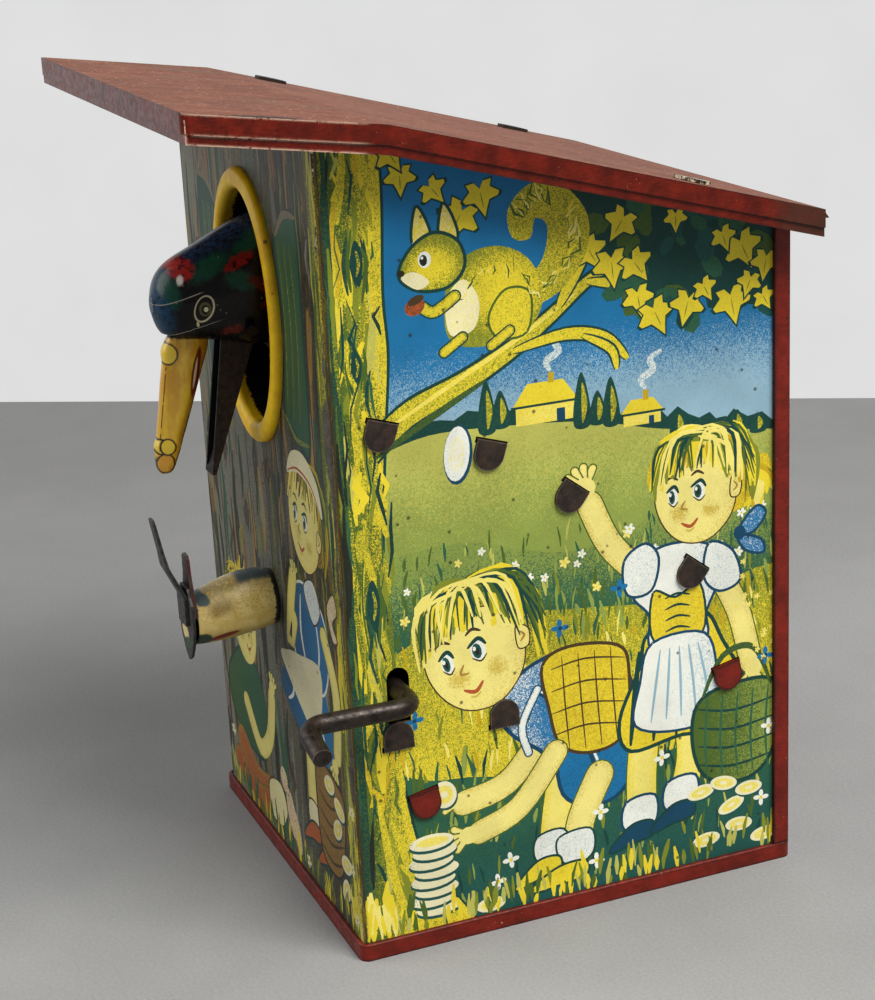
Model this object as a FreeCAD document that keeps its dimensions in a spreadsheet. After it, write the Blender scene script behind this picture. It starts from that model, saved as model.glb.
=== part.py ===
import FreeCAD, Part
import math
import os
import re
import Sketcher

# Tinplate mechanical bank shaped like a nesting house: a bird leans out of an oval hole over a
# coin holder, a bent wire lever carries it inside, and the coin slides down two plates.
# Millimetres.  The house stands on z = 0 with its centre on the Z axis; its front faces -Y.

DIMENSIONS = {
    # tinplate
    "tin": 0.5,
    "sheet_gap": 0.1,
    # house
    "house_width": 75,
    "house_depth": 80,
    "fold_radius": 1.2,
    "floor_top": 0.6,
    "pan_depth": 3,
    "rim_sheet": 0.75,
    "crimp_width": 3,
    "crimp_fillet": 0.3,
    # roof: top line from front to back, and the double rim that hangs from it
    "roof_half_width": 45.9,
    "roof_front_y": -61.5,
    "roof_front_z": 143,
    "roof_bend_y": -31,
    "roof_bend_z": 138.5,
    "roof_back_y": 42.5,
    "roof_back_z": 117.8,
    "rim_height": 4.5,
    "rim_step": 1.5,
    "rim_inset": 0.35,
    "rim_thickness": 0.9,
    "roof_corner": 1.5,
    "roof_lip": 1.8,
    # oval entrance and its ring
    "oval_z": 104.1,
    "ring_half_width": 16.4,
    "ring_half_height": 23.3,
    "mouth_half_width": 13.5,
    "mouth_half_height": 19.7,
    "ring_wall": 0.6,
    "ring_proud": 1.5,
    "ring_fillet": 1.2,
    "ring_depth": 5.5,
    # folded tabs that hold the inner plates
    "tab_width": 5.2,
    "tab_straight": 2,
    "tab_slot_play": 0.5,
    # coin chute
    "chute_front_y": -38.6,
    "chute_front_slope": 18,
    "chute_bend_y": -10,
    "chute_bend_z": 84.7,
    "chute_back_slope": 38,
    "chute_back_y": 27,
    "chute_slot_half": 3.6,
    "chute_slot_front": -40,
    "chute_slot_back": 10,
    # sloping partition above the coin box
    "partition_front_y": -31,
    "partition_front_z": 27.45,
    "partition_slope": 11.2,
    "partition_back_y": 39.2,
    # bearing plate, brackets and axle
    "bearing_z": 37,
    "bearing_front_y": -38.6,
    "bearing_back_y": 3,
    "axle_y": -8.16,
    "axle_z": 45.44,
    "axle_radius": 1.5,
    "running_play": 0.06,
    "axle_half_length": 12,
    "bracket_half": 9.5,
    "bracket_front_y": -29,
    "bracket_back_y": -3,
    "bracket_top_z": 52.5,
    "bush_radius": 2.6,
    "axle_cap_radius": 2.6,
    "axle_cap_height": 1.2,
    "rivet_radius": 0.9,
    # crank lever
    "wire_radius": 1.6,
    "wire_bend": 3.1,
    "crank_y": -24.16,
    "lever_z": 47,
    "crank_throw": 10.37,
    "crank_rest": -15,
    "lever_elbow_x": 44.8,
    "lever_tip_x": 53.2,
    "finger_y": -50,
    "crank_jog_x": 14.5,
    "crank_throw_x": 4.4,
    "crank_end_x": -12.5,
    "slot_y": -31.5,
    "slot_half": 1.95,
    "slot_top_z": 50.9,
    "slot_bottom_z": 41.2,
    # return spring, between the eye in the lug and the eye in the arm's tail
    "spring_y": -1.2,
    "lug_eye_z": 39.6,
    "tail_eye_z": 50.1,
    "eye_radius": 0.65,
    # bird
    "arm_half": 0.5,
    "fork_half": 1.9,
    "shell": 0.6,
    "jaw_y": -42.5,
    "jaw_z": 102,
    "jaw_pin": 0.8,
    "beak_pin_y": -51.6,
    "beak_pin_z": 102.4,
    "beak_pin": 0.7,
    # coin holder
    "holder_z": 51.9,
    # coin door and lock
    "door_half_width": 19,
    "door_low_z": 4.4,
    "door_high_z": 28,
    "opening_half_width": 17,
    "opening_low_z": 6,
    "opening_high_z": 26,
    "hinge_x": -19.4,
    "hinge_y": 41.8,
    "hinge_pin": 0.6,
    "knuckle_radius": 1.1,
    "lock_x": 10.5,
    "lock_z": 16,
    "lock_barrel": 3.5,
    "lock_plug": 2.4,
}

doc = FreeCAD.newDocument("MechanicalBank")
NAMES = re.compile(r"\b(" + "|".join(DIMENSIONS) + r")\b")
X = FreeCAD.Vector(1, 0, 0)
Y = FreeCAD.Vector(0, 1, 0)
Z = FreeCAD.Vector(0, 0, 1)
ALONG_X = FreeCAD.Rotation(Y, 90)
ALONG_Y = FreeCAD.Rotation(X, -90)
UPRIGHT_OVAL = FreeCAD.Rotation(FreeCAD.Vector(1, 1, 1), -120)
parts = []


def make_sheet():
    """The spreadsheet that holds every driving dimension under its own name."""
    cells = doc.addObject("Spreadsheet::Sheet", "Dimensions")
    for row, (name, value) in enumerate(DIMENSIONS.items(), start=1):
        cells.set(f"A{row}", name)
        cells.set(f"B{row}", str(value))
        cells.setAlias(f"B{row}", name)
    doc.recompute()
    return cells


sheet = make_sheet()


def number(text):
    """The value of an expression of the sheet's names."""
    return float(sheet.evalExpression(str(text)))


def bound(text):
    """The same expression as another object of the document has to write it."""
    return NAMES.sub(r"Dimensions.\1", str(text))


def point(x, y, z):
    return FreeCAD.Vector(number(x), number(y), number(z))


def keep(thing, label):
    """Names a finished sub-part, which is written to a file of that name."""
    thing.Label = label
    parts.append(thing)
    return thing


# ---------------------------------------------------------------- sketched bodies


def new_body(name):
    return doc.addObject("PartDesign::Body", name)


def new_sketch(body, plane, shift):
    """A sketch on one of the body's origin planes, moved along its normal."""
    support = [each for each in body.Origin.OriginFeatures if each.Role == plane][0]
    sketch = body.newObject("Sketcher::SketchObject", "Sketch")
    sketch.AttachmentSupport = [(support, "")]
    sketch.MapMode = "FlatFace"
    sketch.AttachmentOffset = FreeCAD.Placement(FreeCAD.Vector(0, 0, number(shift)), FreeCAD.Rotation())
    sketch.setExpression("AttachmentOffset.Base.z", bound(shift))
    return sketch


def fix(sketch, geometry, vertex, u, v):
    """Holds one sketch point at two expressions."""
    for kind, text in (("DistanceX", u), ("DistanceY", v)):
        rule = Sketcher.Constraint(kind, -1, 1, geometry, vertex, number(text))
        index = sketch.addConstraint(rule)
        sketch.setExpression(f"Constraints[{index}]", bound(text))


def outline(body, plane, corners, shift="0"):
    """A closed outline of straight edges through corners given as expressions."""
    sketch = new_sketch(body, plane, shift)
    places = [FreeCAD.Vector(number(u), number(v), 0) for u, v in corners]
    count = len(places)
    for index in range(count):
        sketch.addGeometry(Part.LineSegment(places[index], places[(index + 1) % count]), False)
    for index in range(count):
        sketch.addConstraint(Sketcher.Constraint("Coincident", index, 2, (index + 1) % count, 1))
    for index, (u, v) in enumerate(corners):
        fix(sketch, index, 1, u, v)
    return sketch


def circle(body, plane, u, v, radius, shift="0"):
    sketch = new_sketch(body, plane, shift)
    centre = FreeCAD.Vector(number(u), number(v), 0)
    sketch.addGeometry(Part.Circle(centre, Z, number(radius)), False)
    fix(sketch, 0, 3, u, v)
    index = sketch.addConstraint(Sketcher.Constraint("Radius", 0, number(radius)))
    sketch.setExpression(f"Constraints[{index}]", bound(radius))
    return sketch


def upright_oval(body, v, half_width, half_height, shift):
    """An ellipse on the front plane whose long axis stands upright on the middle line."""
    sketch = new_sketch(body, "XZ_Plane", shift)
    centre = FreeCAD.Vector(0, number(v), 0)
    top = FreeCAD.Vector(0, number(v) + number(half_height), 0)
    side = FreeCAD.Vector(number(half_width), number(v), 0)
    sketch.addGeometry(Part.Ellipse(top, side, centre), False)
    sketch.exposeInternalGeometry(0)
    fix(sketch, 0, 3, "0", v)
    sketch.addConstraint(Sketcher.Constraint("Vertical", 1))
    for line, half in ((1, half_height), (2, half_width)):
        index = sketch.addConstraint(Sketcher.Constraint("Distance", line, 2 * number(half)))
        sketch.setExpression(f"Constraints[{index}]", bound(f"2 * ({half})"))
    return sketch


def pad(body, sketch, length, midplane=False, back=False):
    feature = body.newObject("PartDesign::Pad", "Pad")
    feature.Profile = sketch
    feature.setExpression("Length", bound(length))
    feature.Midplane = midplane
    feature.Reversed = back
    doc.recompute()
    return feature


def pocket(body, sketch, length, midplane=False, back=False):
    """Cuts along the sketch's normal, against it, or both ways; it must remove something."""
    before = body.Shape.Volume
    feature = body.newObject("PartDesign::Pocket", "Pocket")
    feature.Profile = sketch
    feature.setExpression("Length", bound(length))
    feature.Midplane = midplane
    feature.Reversed = back
    doc.recompute()
    if not body.Shape.Volume < before:
        raise RuntimeError(f"{body.Name}: a pocket removed nothing")
    return feature


def fillet(body, radius, chosen):
    """Rounds the edges of the body's last feature that the test picks."""
    base = body.Tip
    names = [f"Edge{i}" for i, edge in enumerate(base.Shape.Edges, start=1) if chosen(edge)]
    if not names:
        raise RuntimeError(f"{body.Name}: no edge to round")
    feature = body.newObject("PartDesign::Fillet", "Fillet")
    feature.Base = (base, names)
    feature.setExpression("Radius", bound(radius))
    doc.recompute()
    return feature


def is_upright(edge):
    box = edge.BoundBox
    return box.XLength < 1e-4 and box.YLength < 1e-4 and box.ZLength > 1


def is_short_x(edge):
    box = edge.BoundBox
    return box.YLength < 1e-4 and box.ZLength < 1e-4 and box.XLength > 0.1


# ---------------------------------------------------------------- primitives and booleans


def put(thing, frame, x="0", y="0", z="0", turn=None):
    """Places a primitive at expressions of the sheet within a frame."""
    local = FreeCAD.Placement(point(x, y, z), turn or FreeCAD.Rotation())
    thing.Placement = frame.multiply(local)
    return thing


def block(size, x, y, z, frame=FreeCAD.Placement()):
    """A box with its least corner at x, y, z of the frame."""
    box = doc.addObject("Part::Box", "Block")
    for side, text in zip(("Length", "Width", "Height"), size):
        box.setExpression(side, bound(text))
    return put(box, frame, x, y, z)


def rod(radius, length, x, y, z, turn=None, frame=FreeCAD.Placement(), angle=360):
    """A cylinder from x, y, z along the Z axis of its turn."""
    cylinder = doc.addObject("Part::Cylinder", "Rod")
    cylinder.setExpression("Radius", bound(radius))
    cylinder.setExpression("Height", bound(length))
    cylinder.Angle = angle
    return put(cylinder, frame, x, y, z, turn)


def join(pieces):
    whole = doc.addObject("Part::MultiFuse", "Join")
    whole.Shapes = pieces
    whole.Refine = True
    doc.recompute()
    return whole


def cut(base, tool):
    result = doc.addObject("Part::Cut", "Cut")
    result.Base = base
    result.Tool = tool
    result.Refine = True
    doc.recompute()
    return result


def tube(outer, inner, length, x, y, z, turn=None):
    """A round sleeve from x, y, z along the Z axis of its turn."""
    return cut(rod(outer, length, x, y, z, turn), rod(inner, length, x, y, z, turn))


def oval_loft(sections, shrink):
    """A skin through upright ovals across Y: each is y, z, half width and half height."""
    rings = []
    for y, z, half_width, half_height in sections:
        ring = doc.addObject("Part::Ellipse", "Oval")
        ring.MajorRadius = half_height - shrink
        ring.MinorRadius = half_width - shrink
        ring.Placement = FreeCAD.Placement(FreeCAD.Vector(0, y, z), UPRIGHT_OVAL)
        rings.append(ring)
    loft = doc.addObject("Part::Loft", "Loft")
    loft.Sections = rings
    loft.Solid = True
    doc.recompute()
    return loft


# ---------------------------------------------------------------- bent wire


def wire_path(corners, bend):
    """Straight runs through the corners, joined by arcs that are tangent to both."""
    edges = []
    start = corners[0]
    for before, corner, after in zip(corners, corners[1:], corners[2:]):
        back = (before - corner).normalize()
        onward = (after - corner).normalize()
        half_turn = (math.pi - back.getAngle(onward)) / 2
        reach = bend * math.tan(half_turn)
        middle = (back + onward).normalize() * (bend / math.cos(half_turn) - bend)
        arc_start = corner + back * reach
        arc_end = corner + onward * reach
        edges.append(Part.makeLine(start, arc_start))
        edges.append(Part.Arc(arc_start, corner + middle, arc_end).toShape())
        start = arc_end
    edges.append(Part.makeLine(start, corners[-1]))
    return Part.Wire(edges)


def swept_wire(name, path, start, direction, radius):
    """A round wire along a path; it becomes a Part::Feature because the path leaves its plane."""
    section = Part.Wire(Part.makeCircle(radius, start, direction))
    feature = doc.addObject("Part::Feature", name)
    feature.Shape = path.makePipeShell([section], True, True)
    doc.recompute()
    return feature


# ---------------------------------------------------------------- folded tabs


def tab_frame(side, y, z, slope, fold):
    """Where a tab leaves the house: X out through the wall, Z the way that it is folded."""
    turns = {
        ("down", 1): FreeCAD.Rotation(X, 180),
        ("down", -1): FreeCAD.Rotation(Y, 180),
        ("up", 1): FreeCAD.Rotation(),
        ("up", -1): FreeCAD.Rotation(Z, 180),
    }
    turn = FreeCAD.Rotation(X, slope).multiply(turns[(fold, side)])
    return FreeCAD.Placement(FreeCAD.Vector(0, y, z), turn)


def folded_tab(frame, root, face):
    """A tab from root out past the wall's face, with a rounded flap folded against the wall."""
    neck = block(
        (f"{face} + tin - ({root})", "tab_width", "tin"),
        root, "-tab_width / 2", "-tin / 2", frame,
    )
    flap = block(
        ("tin", "tab_width", "tab_straight + tin / 2"),
        face, "-tab_width / 2", "-tin / 2", frame,
    )
    turn = FreeCAD.Rotation(FreeCAD.Vector(1, 1, 1), 120)
    end = rod("tab_width / 2", "tin", face, "0", "tab_straight", turn, frame, angle=180)
    return [neck, flap, end]


def slot_cutter(y, z, slope):
    """A slot for one pair of tabs, through both side walls."""
    frame = FreeCAD.Placement(FreeCAD.Vector(0, y, z), FreeCAD.Rotation(X, slope))
    return block(
        ("house_width + 4", "tab_width + tab_slot_play", "tin + tab_slot_play"),
        "-house_width / 2 - 2", "-(tab_width + tab_slot_play) / 2", "-(tin + tab_slot_play) / 2", frame,
    )


def on_chute(y):
    slope = "chute_front_slope" if y < number("chute_bend_y") else "chute_back_slope"
    height = number(f"chute_bend_z - ({y} - chute_bend_y) * tan({slope})")
    return y, height, -number(slope), "down"


def on_partition(y):
    height = number(f"partition_front_z + ({y} - partition_front_y) * tan(partition_slope)")
    return y, height, number("partition_slope"), "down"


CHUTE_TABS = [on_chute(y) for y in (-31.6, -13.4, 1.1, 23.1)]
PARTITION_TABS = [on_partition(y) for y in (-28.2, 28.5)]
BEARING_TABS = [(y, number("bearing_z"), 0, "up") for y in (-32, -13.2)]
# side and place along the house of each tab that comes up through the roof
ROOF_TABS = ((-1, -21.6), (-1, 26), (1, 22.5))


def tabbed_plate(body, tabs):
    """Joins a plate between the side walls to its folded tabs on both sides."""
    pieces = [body]
    for y, z, slope, fold in tabs:
        for side in (1, -1):
            frame = tab_frame(side, y, z, slope, fold)
            pieces += folded_tab(frame, "house_width / 2 - tin - 2", "house_width / 2 + 0.05")
    return join(pieces)


# ---------------------------------------------------------------- house


def roof_top(y):
    """Height of the roof's top line above a place along Y, as an expression."""
    front = "(roof_front_z - roof_bend_z) / (roof_bend_y - roof_front_y)"
    back = "(roof_bend_z - roof_back_z) / (roof_back_y - roof_bend_y)"
    if number(y) < number("roof_bend_y"):
        return f"roof_bend_z + (roof_bend_y - ({y})) * {front}"
    return f"roof_bend_z - (({y}) - roof_bend_y) * {back}"


def house_shell():
    """Front and both sides in one folded sheet, with the oval, the lever slot and tab slots."""
    body = new_body("house_shell_sheet")
    back = "house_depth / 2 - sheet_gap"
    sheet_outline = [
        ("-house_width / 2", back),
        ("-house_width / 2", "-house_depth / 2"),
        ("house_width / 2", "-house_depth / 2"),
        ("house_width / 2", back),
        ("house_width / 2 - tin", back),
        ("house_width / 2 - tin", "-house_depth / 2 + tin"),
        ("-house_width / 2 + tin", "-house_depth / 2 + tin"),
        ("-house_width / 2 + tin", back),
    ]
    pad(body, outline(body, "XY_Plane", sheet_outline, "floor_top"), "roof_front_z")
    front = number("-house_depth / 2")
    inner = front + number("tin")
    fillet(body, "fold_radius", lambda e: is_upright(e) and abs(e.BoundBox.YMin - front) < 1e-4)
    fillet(body, "fold_radius - tin", lambda e: is_upright(e) and abs(e.BoundBox.YMin - inner) < 1e-4)
    under = "- tin - sheet_gap - 0.25"
    above_roof = [
        ("-house_depth / 2 - 5", roof_top("-house_depth / 2 - 5") + under),
        ("roof_bend_y", "roof_bend_z" + under),
        ("house_depth / 2 + 5", roof_top("house_depth / 2 + 5") + under),
        ("house_depth / 2 + 5", "roof_front_z + 20"),
        ("-house_depth / 2 - 5", "roof_front_z + 20"),
    ]
    pocket(body, outline(body, "YZ_Plane", above_roof), "house_width + 10", midplane=True)
    mouth = upright_oval(
        body, "oval_z", "mouth_half_width + ring_wall + 0.15", "mouth_half_height + ring_wall + 0.15",
        "house_depth / 2 + 2",
    )
    pocket(body, mouth, "tin + 4")
    lever_slot = [
        ("slot_y - slot_half", "slot_bottom_z"),
        ("slot_y + slot_half", "slot_bottom_z"),
        ("slot_y + slot_half", "slot_top_z"),
        ("slot_y - slot_half", "slot_top_z"),
    ]
    pocket(body, outline(body, "YZ_Plane", lever_slot, "house_width / 2 + 2"), "tin + 4")
    slot_top = number("slot_top_z")
    fillet(body, "slot_half - 0.05", lambda e: is_short_x(e) and abs(e.BoundBox.ZMin - slot_top) < 1e-4)
    cutters = [slot_cutter(y, z, slope) for y, z, slope, _ in CHUTE_TABS + PARTITION_TABS + BEARING_TABS]
    cutters += [rod("1.3", "4", x, "-house_depth / 2 - 2", "holder_z", ALONG_Y) for x in ("-2.6", "2.6")]
    punched = cut(body, join(cutters))
    pieces = [punched]
    for side, place in ROOF_TABS:
        pieces += roof_tab(side, place)
    keep(join(pieces), "house_shell")


def roof_slope():
    return math.degrees(math.atan2(
        number("roof_back_z - roof_bend_z"), number("roof_back_y - roof_bend_y")))


def roof_tab_frame(side, y):
    """X runs up through the roof's slot and Z outward, the way that the flap lies."""
    slope = roof_slope() if y > number("roof_bend_y") else 0
    turn = FreeCAD.Rotation(FreeCAD.Vector(1, 0, 1), 180) if side > 0 else FreeCAD.Rotation(Y, -90)
    place = FreeCAD.Vector(side * number("house_width / 2 - tin / 2"), y, number(roof_top(y)))
    return FreeCAD.Placement(place, FreeCAD.Rotation(X, slope).multiply(turn))


def roof_tab(side, y):
    """A tab of a side wall that comes up through the roof and is folded flat on top of it."""
    return folded_tab(roof_tab_frame(side, y), "-3", "0.05")


def rear_wall():
    """Flat back with its two edges crimped round the side walls, and knuckles for the door."""
    body = new_body("rear_wall_sheet")
    wall = "house_depth / 2"
    outside = "house_width / 2 + 0.05 + rim_sheet"
    crimp = [
        (f"-({outside})", f"{wall} + rim_sheet"),
        (f"-({outside})", f"{wall} + rim_sheet - crimp_width"),
        ("-(house_width / 2 + 0.05)", f"{wall} + rim_sheet - crimp_width"),
        ("-(house_width / 2 + 0.05)", wall),
        ("house_width / 2 + 0.05", wall),
        ("house_width / 2 + 0.05", f"{wall} + rim_sheet - crimp_width"),
        (outside, f"{wall} + rim_sheet - crimp_width"),
        (outside, f"{wall} + rim_sheet"),
    ]
    pad(body, outline(body, "XY_Plane", crimp, "pan_depth + 0.1"), "roof_front_z - pan_depth")
    sheet_edge = [
        ("-house_width / 2", wall),
        ("house_width / 2", wall),
        ("house_width / 2", f"{wall} + tin"),
        ("-house_width / 2", f"{wall} + tin"),
    ]
    pad(body, outline(body, "XY_Plane", sheet_edge, "floor_top"), "10")
    far = number(f"{wall} + rim_sheet")
    fillet(body, "crimp_fillet", lambda e: is_upright(e) and abs(e.BoundBox.YMin - far) < 1e-4)
    under = "- tin - sheet_gap - 0.25"
    above_roof = [
        ("0", roof_top("0") + under),
        ("house_depth / 2 + 10", roof_top("house_depth / 2 + 10") + under),
        ("house_depth / 2 + 10", "roof_front_z + 20"),
        ("0", "roof_front_z + 20"),
    ]
    pocket(body, outline(body, "YZ_Plane", above_roof), "house_width + 10", midplane=True)
    flat_back = [
        ("-house_width / 2 + 2", "pan_depth + 1.2"),
        ("house_width / 2 - 2", "pan_depth + 1.2"),
        ("house_width / 2 - 2", "roof_front_z"),
        ("-house_width / 2 + 2", "roof_front_z"),
    ]
    pocket(body, outline(body, "XZ_Plane", flat_back, f"-({wall} + tin)"), "2", back=False)
    doorway = [
        ("-opening_half_width", "opening_low_z"),
        ("opening_half_width", "opening_low_z"),
        ("opening_half_width", "opening_high_z"),
        ("-opening_half_width", "opening_high_z"),
    ]
    pocket(body, outline(body, "XZ_Plane", doorway, f"-({wall} - 2)"), "4", back=False)
    keep(join([body] + wall_knuckles()), "rear_wall")


KNUCKLES = (("door_low_z + 0.4", "5"), ("door_high_z - 5.4", "5"))


def knuckle(low, length, foot_x):
    """One rolled eye of the door's hinge, with a foot that joins it to its sheet."""
    eye = rod("knuckle_radius", length, "hinge_x", "hinge_y", low)
    foot = block(
        ("2.4", "hinge_y - house_depth / 2 - tin", length),
        foot_x, "house_depth / 2 + tin", low,
    )
    return join([eye, foot])


def wall_knuckles():
    eyes = []
    for low, length in KNUCKLES:
        eye = knuckle(low, length, "hinge_x - 2.4")
        eyes.append(cut(eye, rod("hinge_pin + running_play", length, "hinge_x", "hinge_y", low)))
    return eyes


def base_pan():
    """Shallow pressed pan whose rim stands round the foot of the house."""
    body = new_body("base_pan")
    half_x = "(house_width / 2 + 0.05 + rim_sheet)"
    front = "-(house_depth / 2 + 0.05 + rim_sheet)"
    back = "(house_depth / 2 + 0.05 + rim_sheet + tin)"
    outer = [(f"-{half_x}", front), (half_x, front), (half_x, back), (f"-{half_x}", back)]
    pad(body, outline(body, "XY_Plane", outer), "pan_depth")
    fillet(body, "fold_radius + 0.4", is_upright)
    inner = [
        (f"-{half_x} + rim_sheet", f"{front} + rim_sheet"),
        (f"{half_x} - rim_sheet", f"{front} + rim_sheet"),
        (f"{half_x} - rim_sheet", f"{back} - rim_sheet"),
        (f"-{half_x} + rim_sheet", f"{back} - rim_sheet"),
    ]
    pocket(body, outline(body, "XY_Plane", inner, "pan_depth + 1"), "pan_depth + 1 - tin")
    rim_top = number("pan_depth")
    width = number("house_width")
    fillet(body, "crimp_fillet", lambda e: outside_edge(e, rim_top, width / 2))
    keep(body, "base_pan")


def outside_edge(edge, height, half):
    """True for the long outer edges at one height."""
    box = edge.BoundBox
    level = box.ZLength < 1e-4 and abs(box.ZMin - height) < 1e-4
    reach = max(abs(box.XMin), abs(box.XMax))
    depth = max(abs(box.YMin), abs(box.YMax))
    return level and (reach > half + 0.7 or depth > number("house_depth / 2") + 0.7)


def roof_outline(drop, inset, bottom):
    """Side view of the roof lowered by drop, drawn in by inset and closed bottom below it."""
    return [
        (f"roof_front_y + {inset}", f"roof_front_z - {drop}"),
        ("roof_bend_y", f"roof_bend_z - {drop}"),
        ("roof_back_y", f"roof_back_z - {drop}"),
        ("roof_back_y", f"roof_back_z - {bottom}"),
        ("roof_bend_y", f"roof_bend_z - {bottom}"),
        (f"roof_front_y + {inset}", f"roof_front_z - {bottom}"),
    ]


def roof():
    """Pressed roof with a stepped rim on three sides, a rear lip and slots for the wall tabs."""
    body = new_body("roof_sheet")
    upper = roof_outline("0", "0", "(rim_height - rim_step)")
    pad(body, outline(body, "YZ_Plane", upper), "2 * roof_half_width", midplane=True)
    front = number("roof_front_y")
    fillet(body, "roof_corner", lambda e: abs(e.BoundBox.YMax - front) < 1e-4 and e.BoundBox.XLength < 1e-4)
    lower = roof_outline("1", "rim_inset", "rim_height")
    pad(body, outline(body, "YZ_Plane", lower), "2 * (roof_half_width - rim_inset)", midplane=True)
    hollow = roof_outline("tin", "rim_thickness", "(rim_height + 6)")
    pocket(body, outline(body, "YZ_Plane", hollow), "2 * (roof_half_width - rim_thickness)", midplane=True)
    lip = [
        ("roof_back_y - 0.05", "roof_back_z"),
        ("roof_back_y + 0.9", "roof_back_z - 0.6"),
        ("roof_back_y + roof_lip", "roof_back_z - roof_lip"),
        ("roof_back_y + roof_lip - 0.5", "roof_back_z - roof_lip"),
        ("roof_back_y + 0.6", "roof_back_z - 1"),
        ("roof_back_y - 0.05", "roof_back_z - tin"),
    ]
    pad(body, outline(body, "YZ_Plane", lip), "2 * (roof_half_width - roof_lip)", midplane=True)
    slots = []
    for side, place in ROOF_TABS:
        slots.append(block(
            ("6", "tab_width + tab_slot_play", "tin + 0.4"),
            "-4", "-(tab_width + tab_slot_play) / 2", "-(tin + 0.4) / 2", roof_tab_frame(side, place),
        ))
    keep(cut(body, join(slots)), "roof")


def entrance_ring():
    """Rounded oval bead on the front with a short wall that runs in through the hole."""
    body = new_body("entrance_ring")
    face = "house_depth / 2 + 0.05"
    pad(body, upright_oval(body, "oval_z", "ring_half_width", "ring_half_height", face), "ring_proud")
    wall = upright_oval(
        body, "oval_z", "mouth_half_width + ring_wall", "mouth_half_height + ring_wall",
        f"{face} + 0.5",
    )
    pad(body, wall, "ring_depth + 0.5", back=True)
    mouth = upright_oval(body, "oval_z", "mouth_half_width", "mouth_half_height", f"{face} + 3")
    pocket(body, mouth, "ring_depth + 5")
    front = -number(f"{face} + ring_proud")
    fillet(body, "ring_fillet", lambda e: abs(e.BoundBox.YMin - front) < 1e-4 and e.BoundBox.YLength < 1e-4)
    keep(body, "entrance_ring")


# ---------------------------------------------------------------- inner plates


PLATE_WIDTH = "house_width - 2 * tin - 2 * sheet_gap"


def coin_chute():
    """Bent plate that leads the coin back and down, slotted for the bird's arm and beak."""
    body = new_body("coin_chute_plate")
    front_z = "chute_bend_z + (chute_bend_y - chute_front_y) * tan(chute_front_slope)"
    back_z = "chute_bend_z - (chute_back_y - chute_bend_y) * tan(chute_back_slope)"
    line = [("chute_front_y", front_z), ("chute_bend_y", "chute_bend_z"), ("chute_back_y", back_z)]
    above = [(y, f"{z} + tin / 2") for y, z in line]
    below = [(y, f"{z} - tin / 2") for y, z in reversed(line)]
    pad(body, outline(body, "YZ_Plane", above + below), PLATE_WIDTH, midplane=True)
    arm_slot = [
        ("-chute_slot_half", "chute_slot_front"),
        ("chute_slot_half", "chute_slot_front"),
        ("chute_slot_half", "chute_slot_back"),
        ("-chute_slot_half", "chute_slot_back"),
    ]
    pocket(body, outline(body, "XY_Plane", arm_slot, "120"), "100")
    ring_end = "-house_depth / 2 + ring_depth + 0.3"
    ring_notch = [
        ("-mouth_half_width", "chute_front_y - 1"),
        ("mouth_half_width", "chute_front_y - 1"),
        ("mouth_half_width", ring_end),
        ("-mouth_half_width", ring_end),
    ]
    pocket(body, outline(body, "XY_Plane", ring_notch, "120"), "100")
    keep(tabbed_plate(body, CHUTE_TABS), "coin_chute")


def partition():
    """Sloping plate that sends the coin forward over its edge into the coin box."""
    body = new_body("partition_plate")
    back_z = "partition_front_z + (partition_back_y - partition_front_y) * tan(partition_slope)"
    line = [("partition_front_y", "partition_front_z"), ("partition_back_y", back_z)]
    above = [(y, f"{z} + tin / 2") for y, z in line]
    below = [(y, f"{z} - tin / 2") for y, z in reversed(line)]
    pad(body, outline(body, "YZ_Plane", above + below), PLATE_WIDTH, midplane=True)
    keep(tabbed_plate(body, PARTITION_TABS), "partition")


def bearing_plate():
    """Level plate that carries the moving parts, with a lug for the spring's lower hook."""
    body = new_body("bearing_plate_sheet")
    half = f"({PLATE_WIDTH}) / 2"
    sheet_outline = [
        (f"-{half}", "bearing_front_y"),
        (half, "bearing_front_y"),
        (half, "bearing_back_y"),
        (f"-{half}", "bearing_back_y"),
    ]
    pad(body, outline(body, "XY_Plane", sheet_outline, "bearing_z - tin / 2"), "tin")
    lug = block(("0.8", "4", "3.6"), "-0.4", "-3.2", "bearing_z + tin / 2 - 0.1")
    eye = rod("eye_radius", "4", "-2", "spring_y", "lug_eye_z", ALONG_X)
    plate = tabbed_plate(body, BEARING_TABS)
    keep(cut(join([plate, lug]), join([eye] + rivet_holes())), "bearing_plate")


def axle_bracket():
    """Channel on the bearing plate: its ears hold the bird's axle and the crank lever."""
    body = new_body("axle_bracket_channel")
    low = "(bearing_z + tin / 2 + 0.05)"
    side_view = [
        ("bracket_front_y", low),
        ("-5.2", low),
        ("bracket_back_y", "axle_z"),
        ("bracket_back_y - 2", "bracket_top_z"),
        ("bracket_front_y + 2", "bracket_top_z"),
        ("bracket_front_y", "axle_z"),
    ]
    pad(body, outline(body, "YZ_Plane", side_view), "2 * bracket_half", midplane=True)
    channel = [
        ("bracket_front_y - 1", f"{low} + tin"),
        ("bracket_back_y + 1", f"{low} + tin"),
        ("bracket_back_y + 1", "bracket_top_z + 1"),
        ("bracket_front_y - 1", "bracket_top_z + 1"),
    ]
    pocket(body, outline(body, "YZ_Plane", channel), "2 * (bracket_half - 0.7)", midplane=True)
    bore = circle(body, "YZ_Plane", "axle_y", "axle_z", "axle_radius + running_play")
    pocket(body, bore, "30", midplane=True)
    seat = circle(body, "YZ_Plane", "crank_y", "axle_z", "wire_radius + running_play")
    pocket(body, seat, "30", midplane=True)
    keep(cut(body, join(rivet_holes())), "axle_bracket")


RIVET_PLACES = [(x, y) for x in ("-5.5", "5.5") for y in ("-27", "-8")]


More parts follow.
